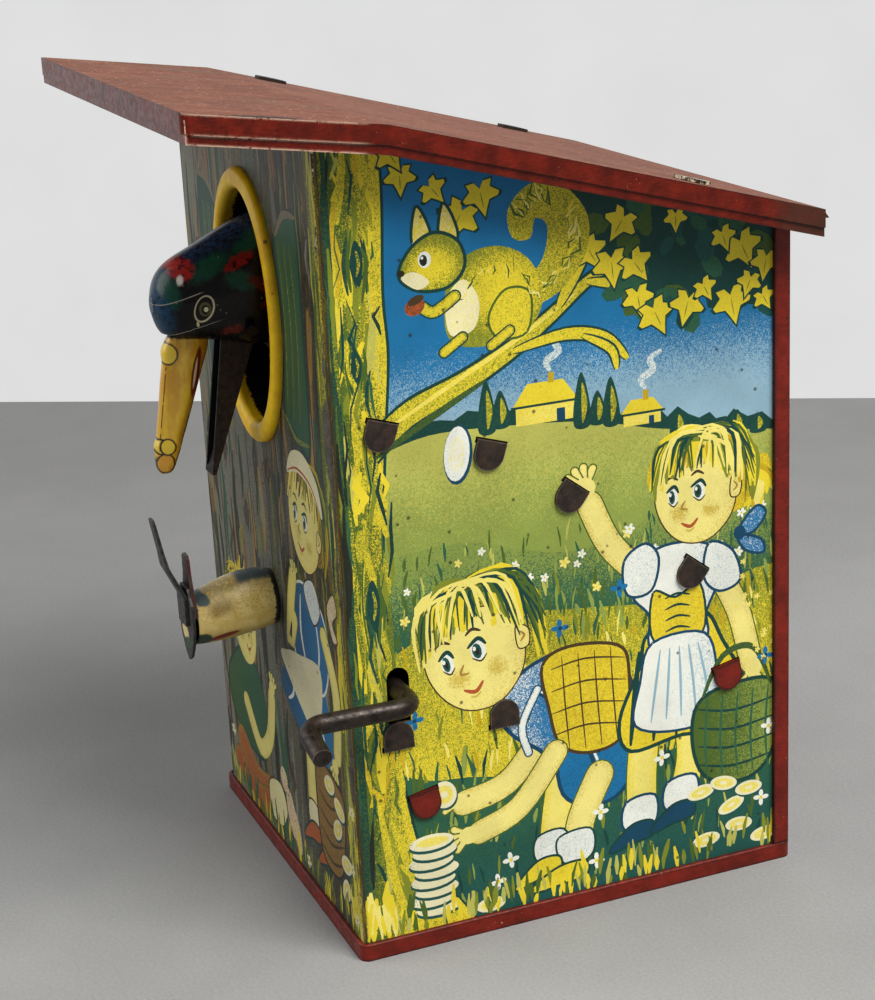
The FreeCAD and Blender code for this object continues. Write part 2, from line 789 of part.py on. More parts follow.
def rivet_holes():
    return [rod("rivet_radius + 0.05", "6", x, y, "bearing_z - 3") for x, y in RIVET_PLACES]


def bracket_rivets():
    """Four rivets that hold the bracket down on the bearing plate."""
    rivets = []
    low = "bearing_z - tin / 2"
    high = "bearing_z + 3 * tin / 2 + 0.05"
    for x, y in RIVET_PLACES:
        shank = rod("rivet_radius", f"{high} - ({low}) + 0.2", x, y, f"{low} - 0.1")
        head = rod("1.6 * rivet_radius", "0.5", x, y, f"{high} + 0.02")
        tail = rod("1.6 * rivet_radius", "0.5", x, y, f"{low} - 0.52")
        rivets.append(join([shank, head, tail]))
    keep(bundle(rivets), "bracket_rivets")


def bird_axle():
    """Steel axle through both ears, with the spacing sleeve that the arm turns on."""
    keep(rod("axle_radius", "2 * axle_half_length", "-axle_half_length", "axle_y", "axle_z", ALONG_X),
         "bird_axle")


def axle_caps():
    """Two pressed caps that stop the axle from sliding out of the ears."""
    caps = []
    for x in ("-axle_half_length - 0.2", "bracket_half + 1.3"):
        outer = rod("axle_cap_radius", "axle_cap_height + 0.2", x, "axle_y", "axle_z", ALONG_X)
        caps.append(outer)
    shaft = rod("axle_radius", "2 * axle_half_length", "-axle_half_length", "axle_y", "axle_z", ALONG_X)
    for cap, name in zip(caps, ("axle_cap_left", "axle_cap_right")):
        keep(cut(cap, shaft), name)


# ---------------------------------------------------------------- lever and spring


def crank_lever():
    """One bent wire: grip, arm through the slot, axle in the ears and a throw at the middle."""
    rest = math.radians(number("crank_rest"))
    throw = number("crank_throw")
    pin_y = number("crank_y") + throw * math.cos(rest)
    pin_z = number("axle_z") + throw * math.sin(rest)
    slot_y = number("slot_y")
    lever_z = number("lever_z")
    crank_y = number("crank_y")
    level = number("axle_z")
    finger_y = number("finger_y")
    tip_x = number("lever_tip_x")
    elbow_x = number("lever_elbow_x")
    jog_x = number("crank_jog_x")
    throw_x = number("crank_throw_x")
    corners = [
        FreeCAD.Vector(tip_x, finger_y, lever_z - 1.5),
        FreeCAD.Vector(elbow_x + 0.2, finger_y, lever_z + 0.4),
        FreeCAD.Vector(elbow_x, slot_y, lever_z),
        FreeCAD.Vector(jog_x, slot_y, lever_z),
        FreeCAD.Vector(jog_x, crank_y, level),
        FreeCAD.Vector(throw_x, crank_y, level),
        FreeCAD.Vector(throw_x, pin_y, pin_z),
        FreeCAD.Vector(-throw_x, pin_y, pin_z),
        FreeCAD.Vector(-throw_x, crank_y, level),
        FreeCAD.Vector(number("crank_end_x"), crank_y, level),
    ]
    path = wire_path(corners, number("wire_bend"))
    wire = swept_wire("crank_wire", path, corners[0], corners[1] - corners[0], number("wire_radius"))
    keep(wire, "crank_lever")


def return_spring():
    """Small tension spring from the arm's tail down to the lug on the bearing plate."""
    wire = 0.25
    radius = 1.3
    hook = 1.15
    turns = 9
    low_eye = number("lug_eye_z")
    high_eye = number("tail_eye_z")
    low = low_eye + 2 * hook
    high = high_eye - 2 * hook
    helix = Part.makeHelix((high - low) / turns, high - low, radius)
    section = Part.Wire(Part.makeCircle(wire, FreeCAD.Vector(radius, 0, 0), Y))
    coil = Part.Wire(helix).makePipeShell([section], True, True)
    coil.translate(FreeCAD.Vector(0, 0, low))
    low_hook = Part.makeTorus(hook, wire, FreeCAD.Vector(0, 0, low_eye + hook), Y)
    high_hook = Part.makeTorus(hook, wire, FreeCAD.Vector(0, 0, high_eye - hook), Y)
    spring = doc.addObject("Part::Feature", "spring_wire")
    spring.Shape = Part.makeCompound([coil, low_hook, high_hook])
    spring.Placement = FreeCAD.Placement(FreeCAD.Vector(0, number("spring_y"), 0), FreeCAD.Rotation())
    doc.recompute()
    keep(spring, "return_spring")


# ---------------------------------------------------------------- bird


HEAD = (
    (-56.9, 106.4, 1.2, 1.5),
    (-56.0, 106.3, 3.8, 4.1),
    (-53.5, 106.7, 6.0, 6.5),
    (-50.0, 107.3, 7.3, 7.6),
    (-46.0, 107.9, 8.3, 8.9),
    (-41.0, 108.4, 9.0, 10.6),
    (-35.0, 109.2, 9.4, 11.8),
    (-30.0, 109.8, 9.4, 12.0),
)


def head_shells():
    """Two pressed half heads that meet on the middle plane, open at the neck and under the jaw."""
    outer = oval_loft(HEAD, 0)
    rear = HEAD[-1]
    inner_sections = [(y + 0.6, z, w, v) for y, z, w, v in HEAD[:-1]]
    inner_sections.append((rear[0] + 1, rear[1], rear[2], rear[3]))
    inner = oval_loft(inner_sections, number("shell"))
    beak_gap = block(("6.2", "9.2", "4"), "-3.1", "-56", "97.6")
    jaw_gap = block(("6.4", "10", "7"), "-3.2", "-46.8", "94.4")
    arm_gap = block(("1.6", "10", "7"), "-0.8", "-37", "94.4")
    pin_hole = rod("jaw_pin + 0.02", "30", "-15", "jaw_y", "jaw_z", ALONG_X)
    beak_hole = rod("beak_pin + 0.02", "30", "-15", "beak_pin_y", "beak_pin_z", ALONG_X)
    neck_holes = [rod("1.02", "30", "-15", y, z, ALONG_X) for y, z in NECK_RIVETS]
    hollow = cut(outer, join([inner, beak_gap, jaw_gap, arm_gap, pin_hole, beak_hole] + neck_holes))
    for name, x in (("bird_head_right", "-20"), ("bird_head_left", "0")):
        other_half = block(("20", "60", "60"), x, "-70", "80")
        keep(cut(hollow, other_half), name)


NECK_RIVETS = (("-36.5", "112"), ("-36.5", "104"))


def bird_arm():
    """Flat arm inside the neck, with the axle's hole, the fork for the crank and the spring's tail."""
    body = new_body("bird_arm_plate")
    side_view = [
        ("-39.5", "99"),
        ("-33", "92"),
        ("-27.5", "83"),
        ("-12.5", "45.5"),
        ("axle_y - 2", "axle_z - 3.8"),
        ("axle_y + 2", "axle_z - 3.8"),
        ("axle_y + 3.9", "axle_z - 1"),
        ("-4.2", "48.9"),
        ("0.4", "48.9"),
        ("0.2", "51.4"),
        ("-4.5", "53.4"),
        ("-20", "84"),
        ("-28", "102"),
        ("-32", "116"),
        ("-40", "115.5"),
        ("-42.5", "107.5"),
        ("-39.3", "105.5"),
    ]
    pad(body, outline(body, "YZ_Plane", side_view), "2 * arm_half", midplane=True)
    fork_angle = math.degrees(math.atan2(
        number("crank_throw * sin(crank_rest)"),
        number("crank_y + crank_throw * cos(crank_rest) - axle_y"),
    ))
    frame = FreeCAD.Placement(point("0", "axle_y", "axle_z"), FreeCAD.Rotation(X, fork_angle))
    tine_size = ("2 * arm_half", "9", "2 * (fork_half + 1.5)")
    tines = block(tine_size, "-arm_half", "0", "-(fork_half + 1.5)", frame)
    gap = block(("4", "12", "2 * fork_half"), "-2", "3.8", "-fork_half", frame)
    axle_hole = rod("bush_radius", "4", "-2", "axle_y", "axle_z", ALONG_X)
    hook_hole = rod("eye_radius", "4", "-2", "spring_y", "tail_eye_z", ALONG_X)
    holes = [rod("1.02", "4", "-2", y, z, ALONG_X) for y, z in NECK_RIVETS]
    arm = cut(join([body, tines]), join([gap, axle_hole, hook_hole] + holes))
    keep(arm, "bird_arm")


def arm_bush():
    """Sleeve fixed in the arm that turns on the axle and keeps the arm in the middle."""
    length = "2 * (bracket_half - 0.7) - 0.4"
    start = "-(bracket_half - 0.7) + 0.2"
    bore = "axle_radius + running_play"
    keep(tube("bush_radius - 0.01", bore, length, start, "axle_y", "axle_z", ALONG_X), "arm_bush")


def neck_rivets():
    """Two rivets through both half heads and the arm."""
    rivets = []
    for y, z in NECK_RIVETS:
        rivets.append(rod("1", "21", "-10.5", y, z, ALONG_X))
    keep(bundle(rivets), "neck_rivets")


def bundle(pieces):
    """Several identical solids that share one node."""
    group = doc.addObject("Part::Compound", "Group")
    group.Links = pieces
    doc.recompute()
    return group


def upper_beak():
    """Folded tin beak, open to the back, riveted inside the front of the head."""
    body = new_body("upper_beak_channel")
    side_view = [
        ("-55.3", "100.3"),
        ("-58.7", "80"),
        ("-58.3", "78.2"),
        ("-57.2", "77.5"),
        ("-56.2", "77.9"),
        ("-55.4", "79.6"),
        ("-47.9", "100.2"),
        ("-49.5", "103.8"),
        ("-52.2", "103.8"),
        ("-52.8", "101.4"),
    ]
    pad(body, outline(body, "YZ_Plane", side_view), "4.4", midplane=True)
    channel = [
        ("-51.7", "105"),
        ("-52.3", "101.4"),
        ("-54.8", "100.3"),
        ("-57.9", "80.3"),
        ("-56.2", "79"),
        ("-50", "79"),
        ("-45", "100"),
        ("-45", "105"),
    ]
    pocket(body, outline(body, "YZ_Plane", channel), "3.4", midplane=True)
    hole = circle(body, "YZ_Plane", "beak_pin_y", "beak_pin_z", "beak_pin + 0.02")
    pocket(body, hole, "10", midplane=True)
    keep(body, "upper_beak")


def beak_rivet():
    """Rivet across the head that holds the upper beak."""
    keep(rod("beak_pin", "10.6", "-5.3", "beak_pin_y", "beak_pin_z", ALONG_X), "beak_rivet")


def lower_beak():
    """Bare tin lower beak that swings on a pin inside the head."""
    body = new_body("lower_beak_plate")
    side_view = [
        ("-45.9", "101"),
        ("-49.5", "76.5"),
        ("-48.8", "76.6"),
        ("-40.4", "99"),
        ("-40.4", "103.6"),
        ("-44.6", "103.6"),
    ]
    pad(body, outline(body, "YZ_Plane", side_view), "4.2", midplane=True)
    channel = [
        ("-47", "104.5"),
        ("-50.5", "76.5"),
        ("-49", "77.8"),
        ("-41", "99.3"),
        ("-41", "104.5"),
    ]
    pocket(body, outline(body, "YZ_Plane", channel), "3.2", midplane=True)
    bore = circle(body, "YZ_Plane", "jaw_y", "jaw_z", "jaw_pin + running_play")
    pocket(body, bore, "10", midplane=True)
    keep(body, "lower_beak")


def jaw_pin():
    """Pin across the head that the lower beak swings on."""
    keep(rod("jaw_pin", "18.4", "-9.2", "jaw_y", "jaw_z", ALONG_X), "jaw_pin")


# ---------------------------------------------------------------- coin holder


HOLDER = (
    (-54.6, 50.9, 4.0, 4.5),
    (-51.0, 51.5, 4.6, 5.2),
    (-46.0, 52.3, 4.9, 5.6),
    (-40.1, 52.5, 4.4, 4.9),
)


def holder_body():
    """Rolled tin barrel of the young bird, fixed to the front by two tabs through its wall."""
    outer = oval_loft(HOLDER, 0)
    inner = oval_loft([(y, z, w, v) for y, z, w, v in HOLDER], number("tin"))
    barrel = cut(outer, inner)
    back_disc = cut_disc()
    keep(join([barrel, back_disc]), "holder_body")


def cut_disc():
    """End wall of the barrel with the two short pegs that pass through the front."""
    disc = oval_loft([(-40.9, 52.5, 4.45, 4.95), (-40.1, 52.5, 4.4, 4.9)], 0)
    pegs = [rod("1.15", "2.6", x, "-40.6", "holder_z", ALONG_Y) for x in ("-2.6", "2.6")]
    return join([disc] + pegs)


def holder_washer():
    """Washer plate behind the front that the holder's pegs are peened over."""
    plate = block(("9", "0.5", "5"), "-4.5", "-house_depth / 2 + tin + 0.1", "holder_z - 2.5")
    holes = [rod("1.2", "4", x, "-house_depth / 2 - 2", "holder_z", ALONG_Y) for x in ("-2.6", "2.6")]
    keep(cut(plate, join(holes)), "holder_washer")


def holder_face():
    """Pointed leaf that closes the front of the barrel."""
    body = new_body("holder_face")
    leaf = [
        ("0", "43.6"),
        ("1.6", "44.6"),
        ("3.6", "47.6"),
        ("4.6", "51.4"),
        ("4", "54.6"),
        ("2", "57.2"),
        ("-2", "57.2"),
        ("-4", "54.6"),
        ("-4.6", "51.4"),
        ("-3.6", "47.6"),
        ("-1.6", "44.6"),
    ]
    pad(body, outline(body, "XZ_Plane", leaf, "55.3"), "0.5")
    keep(body, "holder_face")


def holder_prongs():
    """Two pointed fingers, behind and before the leaf, make the V that the coin stands in."""
    rear = new_body("holder_prong_rear")
    rear_view = [
        ("-3.4", "52.5"),
        ("4.3", "52.5"),
        ("4.3", "54"),
        ("3.1", "54.7"),
        ("2.5", "57.4"),
        ("1.8", "59.6"),
        ("1.5", "62.2"),
        ("0.9", "62.8"),
        ("-0.9", "62.8"),
        ("-1.4", "62.2"),
        ("-1.5", "59.5"),
        ("-2.4", "56.5"),
    ]
    pad(rear, outline(rear, "XZ_Plane", rear_view, "54.65"), "0.6")
    keep(rear, "holder_prong_rear")
    side = new_body("prong_side_view")
    side_view = [
        ("-56.45", "50.5"),
        ("-55.85", "50.5"),
        ("-55.85", "55.8"),
        ("-58.35", "61.3"),
        ("-59.95", "70"),
        ("-60.5", "70"),
        ("-58.95", "61"),
        ("-56.45", "55.6"),
    ]
    pad(side, outline(side, "YZ_Plane", side_view), "8", midplane=True)
    front = new_body("prong_front_view")
    front_view = [
        ("-2.1", "50"),
        ("2.1", "50"),
        ("2.3", "55.5"),
        ("2.1", "61.5"),
        ("1.3", "64"),
        ("1.2", "69"),
        ("0.7", "70.5"),
        ("-0.7", "70.5"),
        ("-1.2", "69"),
        ("-1.3", "64"),
        ("-2.1", "61.5"),
        ("-2.3", "55.5"),
    ]
    pad(front, outline(front, "XZ_Plane", front_view, "50"), "14")
    both = doc.addObject("Part::Common", "Common")
    both.Base = side
    both.Tool = front
    doc.recompute()
    keep(both, "holder_prong_front")


# ---------------------------------------------------------------- coin door


def coin_door():
    """Plate over the opening at the back, with a hole for the lock and its hinge's middle eye."""
    body = new_body("coin_door_plate")
    left = "hinge_x"
    notch = "hinge_x + 1.7"
    high = "door_high_z"
    low = "door_low_z"
    outline_points = [
        (notch, low),
        ("door_half_width", low),
        ("door_half_width", high),
        (notch, high),
        (notch, f"{high} - 5.7"),
        (left, f"{high} - 5.7"),
        (left, f"{low} + 5.7"),
        (notch, f"{low} + 5.7"),
    ]
    face = "house_depth / 2 + tin + 0.1"
    pad(body, outline(body, "XZ_Plane", outline_points, f"-({face})"), "0.6", back=True)
    bore = circle(body, "XZ_Plane", "lock_x", "lock_z", "lock_barrel + 0.05", f"-({face} - 2)")
    pocket(body, bore, "6", back=False)
    eye_low = f"{low} + 5.7"
    eye_length = f"{high} - {low} - 11.4"
    eye = rod("knuckle_radius", eye_length, "hinge_x", "hinge_y", eye_low)
    hole = rod("hinge_pin + running_play", "40", "hinge_x", "hinge_y", "0")
    keep(cut(join([body, eye]), hole), "coin_door")


def hinge_pin():
    keep(rod("hinge_pin", "door_high_z - door_low_z - 0.2", "hinge_x", "hinge_y", "door_low_z + 0.1"),
         "hinge_pin")


def lock_parts():
    """Round lock: barrel with a flange, plug with a key slot, and the cam on the plug's end."""
    face = "house_depth / 2 + tin + 0.7"
    barrel = join([
        rod("lock_barrel", "3.6", "lock_x", f"{face} - 3.4", "lock_z", ALONG_Y),
        rod("lock_barrel + 1.2", "0.7", "lock_x", f"{face} + 0.02", "lock_z", ALONG_Y),
    ])
    bore = rod("lock_plug + running_play", "12", "lock_x", f"{face} - 6", "lock_z", ALONG_Y)
    keep(cut(barrel, bore), "lock_barrel")
    plug = rod("lock_plug", "4.6", "lock_x", f"{face} - 3.9", "lock_z", ALONG_Y)
    key_slot = block(("0.8", "3", "3.2"), "lock_x - 0.4", f"{face} - 1.6", "lock_z - 1.6")
    keep(cut(plug, key_slot), "lock_plug")
    cam = block(("4", "0.7", "9.4"), "lock_x - 2", f"{face} - 4.65", "lock_z - 2")
    keep(cam, "lock_cam")


# ---------------------------------------------------------------- build, check and write


def build_all():
    house_shell()
    rear_wall()
    base_pan()
    roof()
    entrance_ring()
    coin_chute()
    partition()
    bearing_plate()
    axle_bracket()
    bird_axle()
    axle_caps()
    bracket_rivets()
    crank_lever()
    return_spring()
    head_shells()
    bird_arm()
    arm_bush()
    neck_rivets()
    upper_beak()
    beak_rivet()
    lower_beak()
    jaw_pin()
    holder_body()
    holder_washer()
    holder_face()
    holder_prongs()
    coin_door()
    hinge_pin()
    lock_parts()


def check_all():
    for thing in doc.Objects:
        if "Invalid" in thing.State or "Error" in thing.State:
            raise RuntimeError(f"{thing.Name} is {thing.State}")
    for thing in parts:
        if thing.Shape.isNull() or not thing.Shape.isValid() or thing.Shape.Volume <= 0:
            raise RuntimeError(f"{thing.Label} has no valid shape")


def write_all():
    os.makedirs("parts", exist_ok=True)
    for thing in parts:
        thing.Shape.exportStep(f"parts/{thing.Label}.step")
        print(thing.Label, len(thing.Shape.Solids), round(thing.Shape.Volume, 1))


build_all()
doc.recompute()
check_all()
write_all()
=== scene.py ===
import math
import random

import bmesh
import bpy
import numpy as np
from mathutils import Matrix, Vector
from mathutils.geometry import delaunay_2d_cdt


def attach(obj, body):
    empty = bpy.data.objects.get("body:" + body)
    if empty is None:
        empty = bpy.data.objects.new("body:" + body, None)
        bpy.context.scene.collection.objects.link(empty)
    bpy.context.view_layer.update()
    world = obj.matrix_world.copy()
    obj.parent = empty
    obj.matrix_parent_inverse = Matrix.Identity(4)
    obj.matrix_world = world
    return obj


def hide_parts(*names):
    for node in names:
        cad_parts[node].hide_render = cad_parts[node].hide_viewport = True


# Tinplate bird-house bank.  Pictures are drawn in millimetres on the developed faces of the house:
# the first coordinate runs level along the face and the second is the height above the floor.

MM = 0.001
HOUSE_HALF_X = 37.5
HOUSE_HALF_Y = 40.0
FOLD_RADIUS = 1.2
SKIN = 0.025
PAN_TOP = 2.4
UNDER_ROOF = 1.4
REAR_CRIMP = 38.2
CHUTE_BEND = (-10, 84.7)
CHUTE_FRONT_SLOPE = 18
CHUTE_BACK_SLOPE = 38
CHUTE_TABS = (-31.6, -13.4, 1.1, 23.1)
PARTITION_FRONT = (-31, 27.45)
PARTITION_SLOPE = 11.2
PARTITION_TABS = (-28.2, 28.5)
BEARING_HEIGHT = 37
BEARING_TABS = (-32, -13.2)
LEVER_SLOT = (-31.5, 41.2, 48.95)
LEVER_SLOT_HALF = 1.95
MOUTH_CENTRE = (0, 104.1)
MOUTH_SIZE = (14.3, 20.5)
ROOF_LINE = ((-61.5, 143.0), (-31.0, 138.5), (42.5, 117.8))
CAMERA_AZIMUTH = 68.53
CAMERA_ELEVATION = 18.10
CAMERA_ROLL = -2.90
CAMERA_PLACE = (332.96, -139.24, 181.55)
CAMERA_LENS = 76.23
TABLE_EDGE = (-0.282, 0.1, 0)
EDGE_X, EDGE_Y = 0.5197, 0.8544


def srgb(code):
    """Linear colour from a six-digit web colour."""
    parts = [int(code[i:i + 2], 16) / 255 for i in (0, 2, 4)]
    return tuple(c / 12.92 if c <= 0.04045 else ((c + 0.055) / 1.055) ** 2.4 for c in parts)


INK = {name: srgb(code) for name, code in {
    "yellow": "E6D133", "butter": "EEE076", "cream": "ECE6BC", "white": "E9ECE2", "gold": "C2A31E",
    "olive": "7F8829", "moss": "4A6327", "green": "2F5F43", "dark": "15403A", "teal": "1E524C",
    "meadow": "8A9C48", "hay": "B9B85A", "blue": "1B71A5", "navy": "14435F", "haze": "8DB0C2",
    "bark": "25281E", "umber": "4A3922", "ochre": "A8813A", "slate": "6C6E64", "rust": "B0562C",
    "skin": "EEE184", "blush": "CDB44C", "mud": "57492F", "stone": "8B8A78",
}.items()}


# ---------------------------------------------------------------- materials


class Finish:
    """One procedural material, built node by node on millimetre coordinates of the object."""

    def __init__(self, name):
        self.material = bpy.data.materials.new(name)
        self.material.use_nodes = True
        self.tree = self.material.node_tree
        self.shader = self.tree.nodes["Principled BSDF"]
        coords = self.node("ShaderNodeTexCoord")
        scale = self.node("ShaderNodeVectorMath", operation="SCALE")
        self.link(coords.outputs["Object"], scale.inputs[0])
        scale.inputs["Scale"].default_value = 1000
        self.mm = scale.outputs[0]
        self.x, self.y, self.z = self.split(self.mm)
        self.geometry = self.node("ShaderNodeNewGeometry")
        self.nx, self.ny, self.nz = self.split(self.geometry.outputs["Normal"])

    def node(self, kind, **settings):
        made = self.tree.nodes.new(kind)
        for key, value in settings.items():
            setattr(made, key, value)
        return made

    def link(self, source, target):
        self.tree.links.new(source, target)

    def feed(self, target, value):
        if isinstance(value, bpy.types.NodeSocket):
            self.link(value, target)
        elif isinstance(value, tuple) and len(value) == 3 and target.type == "RGBA":
            target.default_value = (*value, 1)
        else:
            target.default_value = value

    def split(self, vector):
        parts = self.node("ShaderNodeSeparateXYZ")
        self.link(vector, parts.inputs[0])
        return parts.outputs

    def math(self, operation, *values, clamp=False):
        made = self.node("ShaderNodeMath", operation=operation, use_clamp=clamp)
        for socket, value in zip(made.inputs, values):
            self.feed(socket, value)
        return made.outputs[0]

    def both(self, *masks):
        result = masks[0]
        for mask in masks[1:]:
            result = self.math("MULTIPLY", result, mask)
        return result

    def either(self, *masks):
        result = masks[0]
        for mask in masks[1:]:
            result = self.math("MAXIMUM", result, mask)
        return result

    def ramp(self, value, low, high, start=0.0, end=1.0):
        """Smooth step of a value from low to high."""
        made = self.node("ShaderNodeMapRange", interpolation_type="SMOOTHSTEP")
        for socket, given in zip(made.inputs, (value, low, high, start, end)):
            self.feed(socket, given)
        return made.outputs[0]

    def stretched(self, stretch):
        made = self.node("ShaderNodeVectorMath", operation="MULTIPLY")
        self.link(self.mm, made.inputs[0])
        made.inputs[1].default_value = stretch
        return made.outputs[0]

    def noise(self, scale, detail=3.0, rough=0.6, stretch=(1, 1, 1), shift=0.0, bend=0.0):
        made = self.node("ShaderNodeTexNoise")
        moved = self.node("ShaderNodeVectorMath", operation="ADD")
        self.link(self.stretched(stretch), moved.inputs[0])
        moved.inputs[1].default_value = (shift, shift * 0.7, -shift)
        self.link(moved.outputs[0], made.inputs["Vector"])
        for key, value in (("Scale", scale), ("Detail", detail), ("Roughness", rough),
                           ("Distortion", bend)):
            made.inputs[key].default_value = value
        return made.outputs["Fac"]

    def cloud(self, noise, low, high, start=0.0, end=1.0):
        """Smooth step of a noise that is given by its scale, detail and roughness."""
        return self.ramp(self.noise(*noise), low, high, start, end)

    def flecks(self, scale, size, share):
        """Scattered round specks: one cell in every few holds one."""
        cells = self.node("ShaderNodeTexVoronoi")
        self.link(self.mm, cells.inputs["Vector"])
        cells.inputs["Scale"].default_value = scale
        chosen = self.split(cells.outputs["Color"])[0]
        dot = self.ramp(cells.outputs["Distance"], size, size * 0.55)
        return self.both(dot, self.ramp(chosen, share, share - 0.02))

    def mix(self, share, first, second):
        made = self.node("ShaderNodeMix", data_type="RGBA")
        self.feed(made.inputs[0], share)
        self.feed(made.inputs[6], first)
        self.feed(made.inputs[7], second)
        return made.outputs[2]

    def layer(self, colour, paint, mask, share=None):
        """Another paint over the colour where the mask is, at full strength or at a share of it."""
        if share is not None:
            mask = self.math("MULTIPLY", mask, share)
        return self.mix(mask, colour, srgb(paint) if isinstance(paint, str) else paint)

    def shade(self, colour, value):
        """The colour multiplied by a grey value."""
        made = self.node("ShaderNodeMix", data_type="RGBA", blend_type="MULTIPLY")
        made.inputs[0].default_value = 1
        self.feed(made.inputs[6], colour)
        self.feed(made.inputs[7], value)
        return made.outputs[2]

    def edges(self, radius=0.7):
        """0 on flat faces, rising towards corners within the radius."""
        bevel = self.node("ShaderNodeBevel", samples=6)
        bevel.inputs["Radius"].default_value = radius * MM
        dot = self.node("ShaderNodeVectorMath", operation="DOT_PRODUCT")
        self.link(bevel.outputs[0], dot.inputs[0])
        self.link(self.geometry.outputs["Normal"], dot.inputs[1])
        return self.math("SUBTRACT", 1.0, dot.outputs["Value"])

    def spot(self, place, size, turn=0.0, soft=0.25, rough=0.0, axes="yz"):
        """1 inside an ellipse of the chosen plane, 0 outside, with an optional ragged outline."""
        first = {"x": self.x, "y": self.y}[axes[0]]
        second = {"y": self.y, "z": self.z}[axes[1]]
        a = self.math("SUBTRACT", first, place[0])
        b = self.math("SUBTRACT", second, place[1])
        c, s = math.cos(math.radians(turn)), math.sin(math.radians(turn))
        u = self.math("MULTIPLY_ADD", a, c / size[0], self.math("MULTIPLY", b, s / size[0]))
        v = self.math("MULTIPLY_ADD", b, c / size[1], self.math("MULTIPLY", a, -s / size[1]))
        r = self.math("SQRT", self.math("MULTIPLY_ADD", u, u, self.math("MULTIPLY", v, v)))
        if rough:
            r = self.math("MULTIPLY_ADD", self.noise(0.9, 4, 0.7, shift=place[0]), rough, r)
            r = self.math("SUBTRACT", r, rough / 2)
        return self.ramp(r, 1 + soft / 2, 1 - soft / 2)

    def surface(self, colour, rough, metal=0.0, coat=0.0, coat_rough=0.15, specular=0.5):
        inputs = self.shader.inputs
        self.feed(inputs["Base Color"], colour)
        self.feed(inputs["Roughness"], rough)
        self.feed(inputs["Metallic"], metal)
        inputs["Coat Weight"].default_value = coat
        inputs["Coat Roughness"].default_value = coat_rough
        inputs["Specular IOR Level"].default_value = specular

    def relief(self, height, strength=0.3, depth=0.1):
        """Bump from a height in millimetres."""
        bump = self.node("ShaderNodeBump")
        bump.inputs["Strength"].default_value = strength
        bump.inputs["Distance"].default_value = depth * MM
        self.link(height, bump.inputs["Height"])
        self.link(bump.outputs[0], self.shader.inputs["Normal"])


def printed_finish():
    """Litho ink on tin: two inks mixed by a fine grain whose share is stored with the picture, and
    painted shade on the front face.
    """
    f = Finish("printed_litho")
    inks = []
    for name in ("ink", "under"):
        reader = f.node("ShaderNodeAttribute", attribute_name=name)
        inks.append(reader.outputs["Color"])
    tone = f.node("ShaderNodeAttribute", attribute_name="tone").outputs["Fac"]
    rub = f.node("ShaderNodeAttribute", attribute_name="rub").outputs["Fac"]
    grain = f.math("MULTIPLY_ADD", f.noise(5.5, 2, 0.7), 0.75,
                   f.math("MULTIPLY", f.noise(1.6, 3, 0.6), 0.25))
    grain = f.ramp(grain, 0.3, 0.7)
    low = f.math("MULTIPLY_ADD", tone, -1.55, 1.0)
    share = f.ramp(grain, low, f.math("ADD", low, 0.55))
    colour = f.mix(share, inks[1], inks[0])
    drift = f.cloud((0.09, 3, 0.6), 0.3, 0.7, 0.86, 1.04)
    colour = f.shade(colour, drift)
    fine = f.cloud((9, 2, 0.6), 0.25, 0.75, 0.86, 1.1)
    colour = f.shade(colour, fine)
    # painted shade: the print on the front face, whose normal points towards -y, is darkened
    colour = f.shade(colour, f.ramp(f.ny, -0.95, -0.5, 0.7, 1.0))
    scratch = f.ramp(f.noise(0.55, 5, 0.55, stretch=(1, 3.2, 0.35), bend=1.4), 0.715, 0.735)
    colour = f.layer(colour, INK["umber"], scratch, 0.55)
    specks = f.either(f.flecks(0.32, 0.13, 0.35), f.flecks(0.9, 0.16, 0.1))
    colour = f.layer(colour, INK["bark"], specks, 0.75)
    worn = f.ramp(f.math("MULTIPLY_ADD", f.noise(1.1, 4, 0.75), 0.8, rub), 0.98, 1.1)
    colour = f.layer(colour, INK["umber"], worn, 0.8)
    bright = f.ramp(f.math("MULTIPLY_ADD", f.noise(0.8, 4, 0.7, shift=30), 0.6, rub), 1.31, 1.4)
    colour = f.layer(colour, "A39C84", bright, 0.7)
    f.surface(colour, f.ramp(grain, 0, 1, 0.4, 0.52), specular=0.2)
    f.relief(f.math("ADD", f.noise(1.5, 3), f.math("MULTIPLY", scratch, -1.5)), 0.12, 0.05)
    return f.material


def paint_finish(name, body, shadow, chip, chips, edge):
    """Enamel on tin with cloudy colour, fine scratches, and chips that gather along the edges."""
    f = Finish(name)
    cloud = f.cloud((0.22, 4, 0.65), 0.3, 0.7)
    colour = f.mix(cloud, shadow, body)
    streak = f.ramp(f.noise(1.2, 4, 0.6, stretch=(0.5, 0.35, 2.5)), 0.35, 0.7, 0.82, 1.12)
    colour = f.shade(colour, streak)
    scratch = f.ramp(f.noise(0.8, 5, 0.5, stretch=(2.0, 0.6, 1.3), bend=2.0), 0.72, 0.74)
    colour = f.layer(colour, f.mix(0.5, body, INK["cream"]), scratch, 0.5)
    ragged = f.noise(0.9, 5, 0.75, shift=4)
    near = f.edges(edge)
    worn = f.ramp(f.math("MULTIPLY_ADD", near, 2.0, ragged), 1.32 - chips, 1.42 - chips)
    colour = f.layer(colour, chip, worn)
    pits = f.flecks(0.7, 0.2, 0.22)
    colour = f.layer(colour, chip, pits, 0.7)
    rough = f.ramp(f.noise(0.5, 4, 0.7, shift=17), 0.3, 0.75, 0.32, 0.52)
    rough = f.math("MULTIPLY_ADD", worn, 0.3, rough)
    f.surface(colour, rough, specular=0.25)
    height = f.math("MULTIPLY_ADD", worn, -1.0, f.math("MULTIPLY", f.noise(0.6, 4, 0.6), 1.2))
    f.relief(height, 0.25, 0.08)
    return f.material


